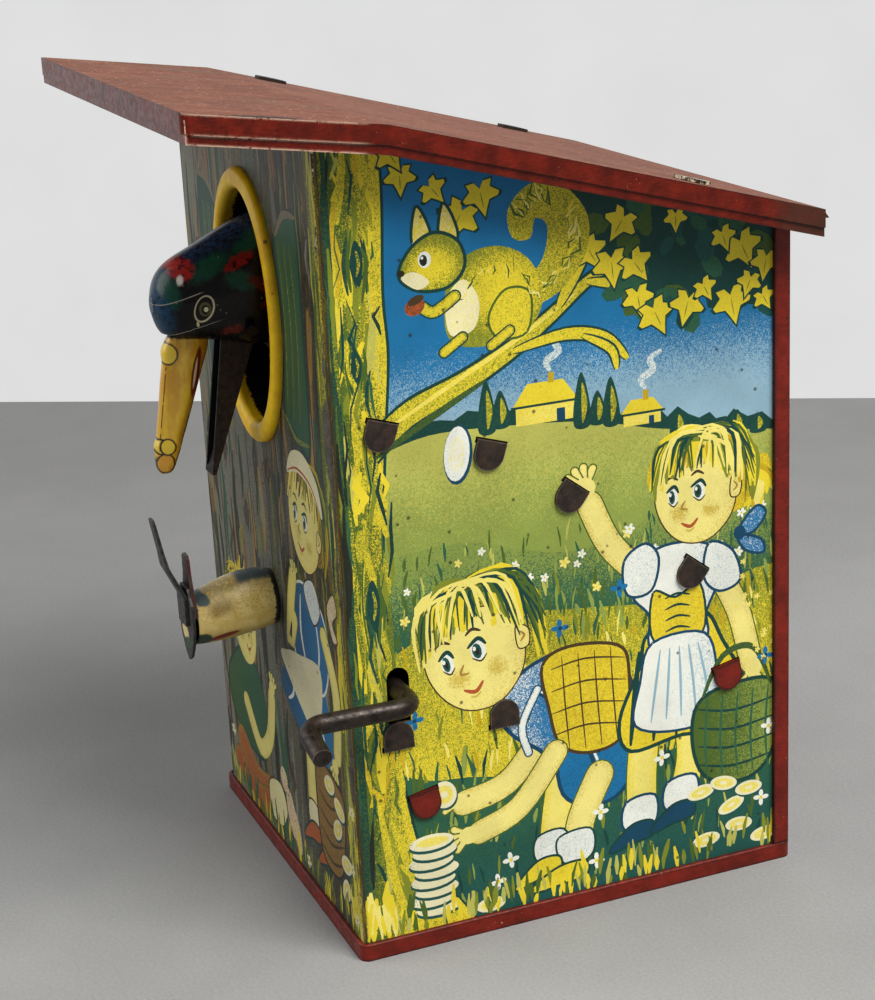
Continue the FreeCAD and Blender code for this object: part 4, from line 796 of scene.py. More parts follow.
def child_head(art, centre, size, look, turn, hair, shade, style):
    """Simple child's head; look is 1 for facing right and -1 for left."""
    c, s = math.cos(math.radians(turn)), math.sin(math.radians(turn))

    def local(p):
        u, v = p[0] * size * look, p[1] * size
        return centre[0] + u * c - v * s, centre[1] + u * s + v * c

    art.place = local
    thin = 0.26 / size
    crown = (-0.1, 1.06)
    back = [(-1.0, -0.55), (-1.12, -0.1), (-1.12, 0.35), (-0.9, 0.75)]
    if style == "bun":
        art.blob([(-0.9, 0.15), (-1.4, 0.4), (-1.5, -0.1), (-1.15, -0.5), (-0.75, -0.4)], shade, hair,
                 0.5)
        art.locks(20, (-1.0, 0.25), [(-1.5, 0.2), (-1.5, -0.2), (-1.15, -0.6), (-0.8, -0.45)],
                  (0.07, 0.14), [hair, hair, shade, "butter", "olive"], 0.2)
    art.blob([(-0.95, -0.45), (-1.12, 0.25), (-0.78, 0.9), (0, 1.2), (0.7, 0.98), (0.98, 0.4), (0.7, 0.1),
              (-0.4, -0.5)], shade, hair, 0.55)
    art.locks(32, crown, back, (0.07, 0.15), [hair, hair, shade, "olive"], 0.3)
    art.locks(16, crown, back, (0.03, 0.055), ["dark", "moss"], 0.3)
    face = round_tone((centre[0] + 1.5 * look, centre[1]), (size * 1.0, size * 1.15), 1.0, 0.45)
    art.blob([(-0.62, 0.5), (-0.78, -0.05), (-0.62, -0.6), (-0.14, -0.95), (0.38, -0.88), (0.72, -0.52),
              (0.86, -0.02), (0.74, 0.42), (0.2, 0.72)], "skin", "blush", face, "umber", thin)
    for u, v in ((0.4, -0.33), (-0.24, -0.38)):
        spot = local((u, v))
        art.oval((u, v), (0.24, 0.2), "blush", "skin",
                 round_tone(spot, (0.24 * size, 0.2 * size), 0.75, 0.2), count=14)
    for u, wide in ((0.5, 0.1), (-0.02, 0.125)):
        art.oval((u, 0.0), (wide, 0.17), "white", count=12)
        art.curve([(u - wide * 1.2, 0.05), (u - wide * 0.4, 0.19), (u + wide * 1.25, 0.1)], 0.07, "dark")
        art.curve([(u - wide, -0.1), (u, -0.18), (u + wide, -0.08)], 0.03, "umber")
        art.oval((u + 0.02, 0.0), (wide * 0.62, 0.13), "teal", count=10)
        art.oval((u + 0.02, -0.01), (wide * 0.3, 0.07), "bark", count=8)
        art.oval((u + 0.05, 0.05), (0.03, 0.04), "white", count=6)
        art.curve([(u - 0.13, 0.29), (u, 0.37), (u + 0.13, 0.31)], 0.055, "umber")
    art.curve([(0.26, -0.12), (0.35, -0.25), (0.22, -0.29)], 0.045, "ochre")
    art.curve([(0.04, -0.5), (0.2, -0.62), (0.38, -0.52)], 0.07, "rust")
    art.curve([(0.12, -0.66), (0.22, -0.7), (0.3, -0.67)], 0.04, "blush")
    art.blob([(-0.7, 0.12), (-0.88, 0.0), (-0.82, -0.26), (-0.64, -0.24)], "skin", "blush", 0.7, "umber",
             thin)
    art.curve([(-0.72, 0.02), (-0.79, -0.08), (-0.7, -0.16)], 0.04, "ochre")
    fringe = [(-0.82, 0.0), (-0.66, 0.2), (-0.35, 0.4), (0.0, 0.46), (0.35, 0.42), (0.7, 0.34),
              (0.92, 0.1)]
    if style == "cap":
        art.locks(32, crown, fringe, (0.06, 0.12), [hair, shade, "butter", "olive"], 0.3)
        art.blob([(-0.98, 0.45), (-0.75, 1.02), (-0.05, 1.32), (0.62, 1.14), (0.88, 0.66), (0.3, 0.86),
                  (-0.4, 0.8)], "cream", "blush", 0.75, "umber", thin)
        art.curve([(-0.9, 0.5), (-0.4, 0.87), (0.3, 0.93), (0.85, 0.7)], 0.05, "rust")
    else:
        art.locks(52, crown, fringe, (0.07, 0.15), [hair, hair, "butter", shade, "olive"])
        art.locks(24, crown, fringe, (0.03, 0.06), ["moss", "dark"])
        art.locks(12, crown, fringe, (0.04, 0.07), ["butter"])
    art.place = lambda p: p


def limb(art, points, width, ink="skin", under="blush", tone=0.85, line="moss"):
    """Arm or leg as a rounded bar with an inked outline."""
    path = smooth(points, False, 5)
    for size, colours in ((width + 0.5, (line, line, 1)), (width, (ink, under, tone * 0.62)),
                          (width * 0.8, (ink, under, tone * 0.78)), (width * 0.55, (ink, under, tone))):
        art.stroke(path, size, *colours, taper=False)
        for end in (path[0], path[-1]):
            art.oval(end, (size / 2, size / 2), *colours, count=14)


def hand(art, centre, turn, size=1.0):
    """Open hand with short fingers."""
    for finger in (-42, -14, 12, 38):
        a = math.radians(turn + finger)
        tip = (centre[0] + 3.1 * size * math.cos(a), centre[1] + 3.1 * size * math.sin(a))
        limb(art, [centre, tip], 1.05 * size)
    art.oval(centre, (1.8 * size, 1.6 * size), "skin", "blush", 0.9, count=14)


def shoe(art, toe, heel, ink, under):
    """Shoe seen from the side."""
    mid = ((toe[0] + heel[0]) / 2, max(toe[1], heel[1]) + 1.2)
    art.blob([(toe[0], toe[1]), (mid[0], mid[1] + 0.4), (heel[0], heel[1] + 1.6),
              (heel[0], heel[1] - 1.2), (mid[0], heel[1] - 2.0), (toe[0], toe[1] - 1.4)], ink, under, 0.7,
             "dark", 0.45)


def cottage(art, left, floor, wide):
    """Small house with a door, a hipped roof and a smoking chimney."""
    high = wide * 0.32
    art.shape([(left, floor), (left + wide, floor), (left + wide, floor + high), (left, floor + high)],
              "butter", "yellow", 0.5)
    art.shape([(left - 0.6, floor + high * 0.9), (left + wide + 0.6, floor + high * 0.9),
               (left + wide * 0.8, floor + high * 2), (left + wide * 0.2, floor + high * 2)], "yellow",
              "gold", 0.75)
    art.stroke([(left - 0.8, floor + high * 0.9), (left + wide + 0.8, floor + high * 0.9)], 0.4, "dark",
               taper=False)
    art.shape([(left + wide * 0.68, floor), (left + wide * 0.82, floor),
               (left + wide * 0.82, floor + high * 0.6), (left + wide * 0.68, floor + high * 0.6)],
              "navy")
    top = (left + wide * 0.6, floor + high * 2)
    art.shape([(top[0] - 0.5, top[1] - 0.3), (top[0] + 0.5, top[1] - 0.3), (top[0] + 0.5, top[1] + 1.4),
               (top[0] - 0.5, top[1] + 1.4)], "gold")
    art.curve([(top[0], top[1] + 1.6), (top[0] - 0.8, top[1] + 3.2), (top[0] + 1.4, top[1] + 4.6),
               (top[0] + 0.9, top[1] + 6.4), (top[0] + 3.0, top[1] + 7.6)], 1.3, "haze", "white", 0.5)


def squirrel(art):
    """Generic squirrel that sits on the bough with a nut."""
    art.blob([(-5, 107), (0, 109), (4, 114), (4.5, 120), (0.5, 125), (-5, 126), (-9, 122.5), (-8.5, 118),
              (-5.5, 117.5), (-4.5, 120.5), (-2.5, 119), (-3.5, 114), (-7, 110)], "olive", "yellow", 0.5,
             "dark", 0.7)
    art.hair(46, [(-6, 108), (1, 113), (1.5, 120), (-4, 123.5), (-7, 120)], (20, 140, 1.6, 3.6),
             (0.25, 0.6), ["moss", "yellow", "olive", "butter"])
    art.blob([(-19.5, 103), (-12, 101.5), (-5.5, 104), (-3.5, 109), (-6, 114.5), (-11, 117), (-16.5, 116),
              (-20, 111)], "olive", "yellow", round_tone((-10, 110), (9, 8), 0.25, 0.75), "dark", 0.6)
    art.blob([(-19.5, 104), (-15.5, 104.5), (-14.5, 109), (-17, 112.5), (-20, 109.5)], "cream", "butter",
             0.6)
    art.blob([(-6.5, 102.8), (-11.5, 102.5), (-13, 106), (-10, 110), (-5.8, 109)], "olive", "yellow",
             0.35, "moss", 0.4)
    art.hair(34, [(-18, 108), (-14, 114), (-8, 114), (-5, 108)], (200, 330, 1.2, 2.4), (0.2, 0.4),
             ["moss", "yellow", "butter"])
    for ear in (-23.6, -19.2):
        art.blob([(ear - 1.5, 119), (ear - 0.7, 124.5), (ear + 0.9, 122.5), (ear + 1.6, 119)], "yellow",
                 "cream", 0.6, "dark", 0.5)
    art.blob([(-27.6, 114.2), (-25.5, 118.2), (-21.5, 120.3), (-17.6, 118.6), (-16.6, 114.6),
              (-19.5, 111.6), (-24.5, 111.6)], "olive", "yellow",
             round_tone((-22, 115), (5, 4), 0.2, 0.7), "dark", 0.55)
    art.blob([(-27.2, 113.8), (-25, 114.6), (-22.6, 112.8), (-24.6, 111.8)], "cream", "butter", 0.7)
    art.oval((-27.2, 114.6), (0.7, 0.55), "bark", count=8)
    art.oval((-23.2, 116.3), (1.1, 1.3), "white", line="dark", width=0.35, count=12)
    art.oval((-23.4, 116.2), (0.65, 0.9), "bark", count=10)
    art.oval((-23.6, 116.6), (0.25, 0.25), "white", count=6)
    limb(art, [(-18.5, 110), (-22, 108), (-24, 109)], 1.7, "yellow", "olive", 0.7, "dark")
    art.oval((-25.2, 109.2), (1.7, 1.35), "rust", "umber", 0.6, "dark", 0.4, turn=20)
    art.oval((-25.0, 110.2), (1.5, 0.7), "umber", turn=20, count=10)
    for foot in (-17.5, -9.5):
        limb(art, [(foot, 103.4), (foot - 3.2, 101.4)], 1.5, "yellow", "olive", 0.7, "dark")


def coin_stack(art, centre, base, count):
    """Pile of blank coins seen a little from above."""
    for k in range(count):
        shift = (0.5, -0.4, 0.3, -0.2)[k % 4]
        level = base + 1.75 * k
        art.oval((centre + shift, level - 0.5), (4.1, 1.5), "teal")
        art.oval((centre + shift, level), (4.0, 1.45), "cream", "blue",
                 across(centre - 5, centre - 1, 0.5, 1.0))
    art.oval((centre, base + 1.75 * count - 1.7), (2.9, 0.8), "butter", "yellow", 0.6, "teal", 0.18)


def right_picture(seed):
    """Meadow with a tree and a squirrel and two cottages; the two children who gather coins are drawn by
    add_children.
    """
    art = Picture(seed)
    dice = art.dice
    art.shape([(-42, 78), (42, 78), (42, 143), (-42, 143)], "blue", "haze", rise(86, 106, 0.05, 1.0))
    crest = smooth([(-34, 86), (-24, 88.5), (-10, 88), (4, 86.5), (16, 83.5), (28, 81.5), (42, 79.5)],
                   False, 6)
    hedge = [(u, v + 2.4 + 1.1 * math.sin(u * 1.3) + 0.8 * math.sin(u * 2.9)) for u, v in crest]
    art.shape(crest + hedge[::-1], "dark", "green", 0.75)
    art.shape([(-42, 42)] + crest + [(42, 42)], "meadow", "hay", rise(60, 88, 1.0, 0.25))
    bank = smooth([(42, 66), (20, 69), (0, 65), (-20, 70), (-42, 68)], False, 5)
    art.shape([(-42, 2), (42, 2), (42, 66)] + bank, "green", "meadow", rise(52, 68, 0.9, 0.3))
    art.blades(150, -34, 40, 54, 68, (1.5, 4), (0.3, 0.7), ["meadow", "hay", "moss", "green"])
    art.blob([(-36, 50), (-20, 57), (0, 55), (20, 53), (42, 55), (42, 30), (10, 25), (-10, 27), (-30, 31),
              (-38, 40)], "yellow", "olive", rise(28, 54, 0.62, 0.4))
    art.blades(120, -34, 40, 49, 58, (2, 5), (0.4, 0.9), ["olive", "meadow", "moss", "green"])
    art.blades(190, -34, 40, 27, 53, (2, 5), (0.3, 0.8), ["olive", "moss", "gold", "green", "butter"])
    turf = smooth([(-42, 30), (-20, 29), (0, 24), (20, 26), (42, 30)], False, 5)
    art.shape([(-42, 1)] + turf + [(42, 1)], "teal", "green", rise(5, 30, 0.75, 0.15))
    art.blades(150, -34, 40, 16, 30, (2.5, 6), (0.4, 1.0), ["green", "moss", "meadow", "dark"])
    art.blades(150, -40, 40, 4, 24, (2, 5), (0.3, 0.9), ["moss", "olive", "dark", "meadow", "hay"])
    for left, floor, wide in ((-9, 87.6, 10.5), (10, 84.6, 6.8)):
        cottage(art, left, floor, wide)
    for u, v, high in ((-14, 87.5, 8.5), (-11.6, 88, 6), (2.6, 86, 9), (5.4, 86, 5.5), (7.8, 85.5, 8),
                       (20, 82, 4), (31, 80.5, 4), (35, 80, 3.4)):
        art.blob([(u - 1.4, v), (u - 1.3, v + high * 0.5), (u, v + high), (u + 1.3, v + high * 0.5),
                  (u + 1.4, v)], "dark", "green", 0.7)
        art.blob([(u, v + 0.5), (u + 0.1, v + high * 0.8), (u + 1.0, v + high * 0.4)], "olive", "yellow",
                 0.6)
    trunk = smooth([(-30.3, 143), (-29.8, 128), (-30.5, 112), (-30.2, 102), (-31.5, 88), (-32.8, 72),
                    (-33.2, 55), (-32.4, 40), (-31, 26), (-28, 14), (-22, 6), (-19, 1)], False, 5)
    art.shape([(u + 0.5, v) for u, v in trunk] + [(-42, 1), (-42, 143)], "dark")
    art.shape(trunk + [(-42, 1), (-42, 143)], "moss", "yellow", across(-40, -30, 0.95, 0.3))
    art.streaks(120, -40, -31.5, 4, 138, (5, 16), (0.5, 1.8),
                [("yellow", "olive"), ("olive", "yellow"), ("olive", "moss"), ("hay", "yellow"),
                 ("yellow", "gold"), ("olive", "yellow")], 0.8, (0.3, 0.9))
    art.streaks(42, -40, -31.5, 4, 138, (4, 14), (0.25, 0.7),
                [("dark", "green"), ("dark", "bark"), ("green", "moss")], 0.9)
    art.shape([(-42, 1), (-37.9, 1), (-38.1, 143), (-42, 143)], "dark", "moss", 0.6)
    art.streaks(40, -40.5, -37.2, 4, 138, (8, 20), (0.3, 1.0), [("bark", "dark"), ("moss", "yellow"),
                ("green", "dark"), ("olive", "moss")], 0.5)
    for centre, size in (((-34.2, 117), (1.3, 4)), ((-35.2, 101), (1.1, 3)), ((-34.8, 62), (1.4, 5)),
                         ((-34.4, 42), (0.9, 3))):
        art.knot(centre, size)
    for spread in ((-33, 3, -22, 10), (-34, 3, -27, 18), (-36, 4, -31, 22)):
        art.curve([(spread[2], spread[1]), (spread[2] - 3, spread[3] * 0.6), (spread[0], spread[3] + 6)],
                  1.5, "yellow", "olive", 0.6)
    bough = smooth([(-33, 88), (-27, 92.5), (-18, 96), (-9, 100.5), (-2, 105), (5, 110), (11, 112)],
                   False, 5)
    girth = [4.6 - 3.9 * i / (len(bough) - 1) for i in range(len(bough))]
    for extra, ink, under, tone in ((0.6, "dark", "dark", 1), (0, "olive", "yellow", 0.45)):
        upper = [(u - 0.3, v + g / 2 + extra) for (u, v), g in zip(bough, girth)]
        lower = [(u + 0.3, v - g / 2 - extra) for (u, v), g in zip(bough, girth)]
        art.shape(upper + lower[::-1], ink, under, tone)
    art.curve([(-33, 89.5), (-20, 96), (-8, 102), (2, 107.8)], 0.8, "butter", "yellow", 0.5)
    art.curve([(-33, 86.2), (-24, 91), (-14, 96)], 1.2, "moss", "dark", 0.6)
    for twig, width in (([(-9, 100), (0, 101.5), (7, 100), (11, 96)], 1.9),
                        ([(3, 100.9), (8, 98), (9, 94.5)], 1.3), ([(-1, 106), (3, 113), (5, 118)], 2.2),
                        ([(4, 109.5), (11, 108.5), (17, 109.5)], 1.7),
                        ([(19, 112), (23, 115), (26, 118)], 1.3)):
        art.curve(twig, width + 0.8, "dark")
        art.curve(twig, width, "yellow", "olive", 0.65)
    art.blob([(-4, 126), (2, 117), (6, 113), (10, 108), (17, 103), (25, 104.5), (33, 102), (42, 104),
              (42, 130), (10, 134)], "dark", "green", 0.8)
    for _ in range(75):
        u, v = dice.uniform(0, 39), dice.uniform(101, 128)
        if v < 117 - 1.2 * (u + 1) and u < 12:
            continue
        turn = dice.uniform(0, 180)
        size = dice.uniform(1.6, 3.4)
        art.oval((u, v), (size, size * 0.62), dice.choice(["green", "dark", "moss", "teal"]), "dark", 0.7,
                 turn=turn, count=8)
    for u, v, size, turn in ((4.5, 114.5, 2.6, 30), (1, 119, 2.2, -20), (8.5, 112, 2.9, 5),
                             (12.5, 111.5, 2.6, 35), (10.5, 118.5, 2.6, -35), (13, 106, 2.4, 10),
                             (16, 103, 2.9, 25), (22, 103.8, 2.7, -15), (25, 106, 1.9, 30),
                             (30, 103.3, 3.0, 12), (33.5, 106, 2.0, -20), (32, 112, 3.0, 25),
                             (36.5, 109, 2.4, -10), (28.5, 114, 2.0, 20), (20, 118, 1.8, 0),
                             (36, 103, 1.8, 30), (-17, 122.5, 3.0, -30), (-13.5, 125.5, 2.6, 10),
                             (-21.5, 127, 2.0, 40), (-26.5, 129.5, 2.2, 0), (-28, 133, 2.2, 30)):
        art.leaf((u, v), size * 1.15 + 0.5, turn, "dark", "dark", 1)
        art.leaf((u, v), size * 1.15, turn)
    squirrel(art)
    for _ in range(46):
        u, v = dice.uniform(-30, 36), dice.uniform(57, 68)
        art.flower((u, v), dice.uniform(0.6, 1.0), dice.choice(["white", "white", "butter"]))
    return art


def add_children(art):
    """The two children, the coins, the basket and the grass in front of them."""
    dice = art.dice
    art.oval((-19.2, 84.6), (2.5, 4.9), "navy", turn=-6)
    art.oval((-19.4, 84.8), (2.2, 4.5), "white", "haze", 0.75, turn=-6)
    art.oval((-19.4, 84.8), (1.4, 3.2), "butter", "white", 0.4, "teal", 0.2, -6)
    # crouching child
    limb(art, [(-2, 30), (-4, 20), (-5, 12)], 5.4, "butter", "yellow", 0.75)
    limb(art, [(-6, 34), (-13, 26.5), (-21, 24.5)], 4.4)
    art.blob([(-14, 40), (-9, 46), (1, 48), (9, 43), (11, 34), (7, 27), (-2, 26), (-7, 31), (-12, 35)],
             "blue", "white", round_tone((2, 38), (12, 12), 0.95, 0.55), "navy", 0.7)
    art.blob([(-3, 31), (5, 33), (11, 30), (9, 21), (3, 18.5), (-3, 22)], "blue", "navy", 0.7, "navy",
             0.7)
    for fold in (((-8, 42), (-3, 38), (-4, 33)), ((4, 45), (3, 39), (6, 34)),
                 ((1, 31), (3, 26), (1, 22))):
        art.curve(fold, 0.8, "navy")
        art.curve([(u + 0.8, v) for u, v in fold], 0.5, "white")
    limb(art, [(4, 24), (0.5, 17), (-0.5, 12)], 5.2, "skin", "blush", 0.85)
    art.blob([(-8, 15), (-3, 15.5), (-2, 11), (-5, 8.5), (-8.5, 11)], "white", "haze", 0.7, "dark", 0.4)
    art.blob([(-4, 14), (2, 14.5), (2.5, 10), (-1, 8), (-4, 10)], "white", "haze", 0.7, "dark", 0.4)
    shoe(art, (-12, 7.2), (-4, 9), "yellow", "gold")
    shoe(art, (-9, 6), (1, 7), "yellow", "gold")
    art.blob([(-6, 46), (-1, 48.5), (8, 47), (10, 42), (9, 31), (3, 28.5), (-3, 31), (-5, 38)], "gold",
             "yellow", 0.45, "umber", 0.6)
    for level in (33, 37, 41, 45):
        art.curve([(-4.5, level), (2, level + 0.8), (9.5, level - 0.5)], 0.35, "umber")
    for u in (-2, 1, 4, 7):
        art.curve([(u + 0.6, 29.5), (u, 38), (u - 0.4, 47)], 0.3, "umber")
    limb(art, [(-7, 42), (-10, 36), (-9, 31)], 1.2, "white", "haze", 0.8, "navy")
    child_head(art, (-17.5, 51), 10.8, -1, 14, "yellow", "moss", "short")
    limb(art, [(-4, 30), (-11, 21.5), (-18.5, 18.5)], 4.2)
    hand(art, (-20.5, 18.4), 190, 1.0)
    hand(art, (-22, 25), 170, 0.9)
    coin_stack(art, -27, 6.5, 8)
    art.coin((-24.5, 26.8), (2.2, 2.5), 20)
    # standing child
    limb(art, [(13, 32), (12, 22), (12, 14)], 5.6, "butter", "yellow", 0.75)
    limb(art, [(21, 32), (21.5, 24), (20, 17)], 5.2, "butter", "yellow", 0.75)
    for foot, level in ((11.5, 15.5), (19.5, 17.5)):
        art.blob([(foot - 2.6, level + 2), (foot + 3, level + 2.4), (foot + 2.8, level - 3),
                  (foot - 3, level - 3)], "white", "haze", 0.75, "navy", 0.5)
        shoe(art, (foot - 5.5, level - 5.6), (foot + 2.4, level - 4), "navy", "dark")
    art.blob([(24, 50), (28, 44), (33, 33), (28, 27), (20, 28), (10, 27), (8, 33), (12, 42), (14, 48)],
             "yellow", "gold", 0.65, "dark", 0.7)
    for k in range(5):
        art.curve([(12 + 3 * k, 45), (11 + 4 * k, 37), (10 + 4.4 * k, 28)], 1.1, "dark")
    limb(art, [(26.5, 58), (31, 49), (33.5, 39)], 4.2)
    art.blob([(12, 60), (17, 63), (25, 62), (28, 57), (25, 50), (24.5, 45), (14.5, 45), (14, 51),
              (11, 55)], "white", "haze", across(12, 28, 1.0, 0.55), "navy", 0.5)
    art.blob([(14.8, 55), (19, 53.5), (23.8, 55), (24, 46), (15, 46)], "yellow", "gold", 0.6, "dark",
             0.45)
    for level in (47.5, 49.5, 51.5, 53.5):
        art.curve([(17, level), (19.4, level + 0.6), (21.8, level)], 0.45, "dark")
    art.blob([(14.5, 46), (24.5, 46), (27, 38), (27.5, 30.5), (19, 29), (11, 31.5), (12, 39)], "white",
             "haze", across(12, 27, 1.0, 0.55), "navy", 0.5)
    for k in range(5):
        art.curve([(16 + 1.8 * k, 44.5), (15 + 2.4 * k, 38), (14 + 2.9 * k, 31.5)], 0.5, "haze")
    art.blob([(25.5, 62), (30, 60), (31.5, 54.5), (27.5, 53), (24.5, 56)], "white", "haze", 0.7, "navy",
             0.5)
    limb(art, [(12.5, 59), (7, 65), (3.5, 72.5)], 4.4)
    hand(art, (2.6, 75.4), 105, 1.15)
    art.blob([(9.5, 61.5), (13.5, 64), (16, 61), (14.5, 55.5), (10, 55.5)], "white", "haze", 0.7, "navy",
             0.5)
    child_head(art, (23.5, 71.5), 9.4, -1, 4, "yellow", "gold", "bun")
    hand(art, (34, 37.5), 265, 0.95)
    for lobe in ([(31, 63), (34.5, 67), (36.5, 65.5), (34, 62.5)],
                 [(31, 62.5), (35.5, 61), (36, 58.5), (32.5, 59.5)]):
        art.blob(lobe, "blue", "white", 0.7, "navy", 0.5)
    art.oval((31.4, 62.8), (1.2, 1.3), "navy", count=10)
    # basket of coins beside the standing child
    art.blob([(23, 33), (30, 35.5), (38.5, 34), (38, 22), (33, 17), (25, 18.5), (22, 25)], "moss",
             "meadow", across(22, 38, 0.9, 0.35), "dark", 0.7)
    for level in (21, 24.5, 28, 31.5):
        art.curve([(23, level + 0.5), (30, level - 1), (38.5, level)], 0.5, "dark")
    for u in (25, 28, 31, 34, 37):
        art.curve([(u, 34), (u - 0.6, 26), (u - 0.2, 18.5)], 0.45, "green")
    art.curve([(24, 34), (28, 41), (34, 41.5), (37.5, 34)], 1.2, "moss", "dark", 0.6)
    for place, turn in (((23.5, 16.2), 8), ((28, 17), -12), ((29.5, 12.4), 20), ((33, 15), 0),
                        ((24.5, 6.8), 4), ((31, 8.4), -4), ((-17, 4.6), 2), ((36, 5.4), 6)):
        art.coin(place, (2.7, 1.35), turn)
    for place in ((4, 17), (3, 8), (16, 24.5), (-13, 12), (35.5, 12.5), (-15.5, 8.5), (37, 26)):
        art.flower(place, 1.5, petals=4)
    for place in ((-2.5, 52), (-29, 41), (36.4, 39.5), (8.5, 57)):
        art.flower(place, 1.6, "blue", "navy", petals=4)
    art.blades(120, -40, 40, 2, 5.5, (2.0, 5.5), (0.5, 1.1), ["yellow", "hay", "olive", "moss"])
    art.blades(26, -39.5, -34, 3, 8, (2.0, 6), (0.6, 1.4), ["yellow", "butter"])
    for _ in range(16):
        art.flower((dice.uniform(30, 38), dice.uniform(38, 58)), 0.55, "butter")


def front_picture(seed):
    """Weathered boards with shutters beside the entrance, a standing and a sitting child."""
    art = Picture(seed)
    art.shape([(-42, 1), (42, 1), (42, 143), (-42, 143)], "stone", "bark", across(-38, 30, 0.7, 0.3))
    art.streaks(330, -38, 34, 2, 139, (6, 26), (0.5, 2.2),
                [("ochre", "mud"), ("stone", "mud"), ("bark", "mud"), ("mud", "bark"), ("olive", "bark"),
                 ("green", "bark"), ("slate", "bark"), ("bark", "bark"), ("ochre", "umber")], 0.9,
                (0.35, 0.9))
    art.streaks(70, -38, 34, 2, 139, (6, 20), (0.5, 1.4),
                [("rust", "mud"), ("ochre", "mud"), ("bark", "bark"), ("bark", "bark")], 0.9, (0.3, 0.7))
    for board in (-28, -19, -9, 1, 11, 20, 29):
        art.curve([(board, 2), (board + 0.6, 50), (board - 0.5, 95), (board + 0.4, 139)], 0.5, "bark")
    for side in (-1, 1):
        frame = [(side * 14.8, 90), (side * 17.6, 104), (side * 15.5, 117), (side * 20, 121.5),
                 (side * 26.5, 122.5), (side * 27.2, 104), (side * 26.6, 85), (side * 20, 86.5)]
        art.blob(frame, "green", "dark", across(-30, 30, 0.35, 0.75), "dark", 1.0)
        for k in range(3):
            u = side * (18.6 + 2.9 * k)
            art.curve([(u - side * 1.2, 89.5), (u + side * 0.6, 104), (u - side * 0.4, 118.5)], 1.7,
                      "moss", "green", 0.5)
            art.curve([(u - side * 2.1, 89), (u - side * 0.3, 104), (u - side * 1.3, 118)], 0.4, "hay",
                      "moss", 0.4)
        art.curve([(side * 15, 89), (side * 20, 86), (side * 26.5, 86.4)], 1.0, "hay", "moss", 0.4)
        art.curve([(side * 16.2, 118.5), (side * 21, 122.5), (side * 27, 123)], 1.3, "slate", "ochre",
                  0.6)
    art.knot((2.5, 76), (1.8, 2.6), "bark", "umber", "ochre")
    for place in ((-23, 74), (-12, 64), (9, 62), (-30, 108), (30, 112), (-6, 134), (14, 131)):
        art.knot(place, (1.2, 3.4), "bark", "umber", "ochre")
    art.blob([(33.5, 1), (32.6, 30), (33.4, 60), (32.4, 90), (33.6, 120), (32.6, 143), (42, 143),
              (42, 1)], "moss", "yellow", across(32, 37, 0.8, 0.45))
    art.streaks(44, 33, 37.4, 2, 139, (5, 20), (0.4, 1.3),
                [("dark", "bark"), ("yellow", "olive"), ("moss", "green"), ("hay", "olive")], 0.6)
    # standing child with a basket
    for foot, level in ((15, 16), (22, 14)):
        limb(art, [(foot + 0.5, 31), (foot, 22), (foot - 0.3, level)], 4.6, "skin", "blush", 0.8)
        art.blob([(foot - 2.3, level + 3), (foot + 2.3, level + 3), (foot + 2.3, level - 1.5),
                  (foot - 2.5, level - 1.5)], "cream", "blush", 0.7, "umber", 0.4)
        shoe(art, (foot - 5.8, level - 4.5), (foot + 2.6, level - 2.6), "rust", "ochre")
    art.blob([(13, 44), (24, 45), (29.5, 32), (22, 29.5), (12, 30.5), (1.5, 36.5), (5.5, 42)], "blue",
             "navy", across(2, 30, 0.35, 0.85), "white", 0.5)
    art.blob([(11.5, 57), (17, 60.5), (25.5, 59), (29, 52.5), (25, 43), (13.5, 43), (10.5, 49)], "blue",
             "navy", across(10, 29, 0.4, 0.85), "white", 0.5)
    for fold in (((16, 58), (15, 51), (17, 45)), ((23, 57), (24, 50), (22, 45)),
                 ((9, 41), (8, 37), (5, 35)), ((20, 43), (22, 37), (25, 32))):
        art.curve(fold, 0.8, "white", "haze", 0.7)
    art.blob([(13, 46), (24, 47), (22, 36), (17, 33.5), (3, 42), (6, 44.5)], "cream", "ochre", 0.72,
             "umber", 0.45)
    art.blob([(18, 60), (23, 62.5), (26, 58), (22, 54.5)], "white", "haze", 0.6, "umber", 0.4)
    limb(art, [(27, 54), (31.3, 45), (30, 34)], 3.6)
    limb(art, [(11.5, 52), (8.5, 47), (10.5, 55), (12.5, 60)], 3.6)
    hand(art, (13, 60.5), 80, 0.75)
    hand(art, (28.5, 31.5), 250, 0.85)
    child_head(art, (21, 72), 9.2, -1, -6, "gold", "umber", "cap")
    art.blob([(29.5, 60), (33, 63.5), (34.5, 60.5), (32, 58), (34, 55.5), (31.5, 55)], "cream", "rust",
             0.6, "umber", 0.4)
    art.blob([(17.5, 27), (20, 29.5), (28, 28.5), (32, 25), (29, 12), (23, 9.5), (18, 13)], "ochre",
             "umber", 0.55, "bark", 0.6)
    for level in (13, 16.5, 20, 23.5):
        art.curve([(18.4, level), (24, level - 1.4), (30.5, level + 1)], 0.6, "umber")
    for place, turn in (((24.5, 26.5), 12), ((29, 23.8), -20), ((27.5, 19.5), 40), ((30, 9.2), 60),
                        ((31, 14.5), 15)):
        art.coin(place, (2.6, 1.7), turn)
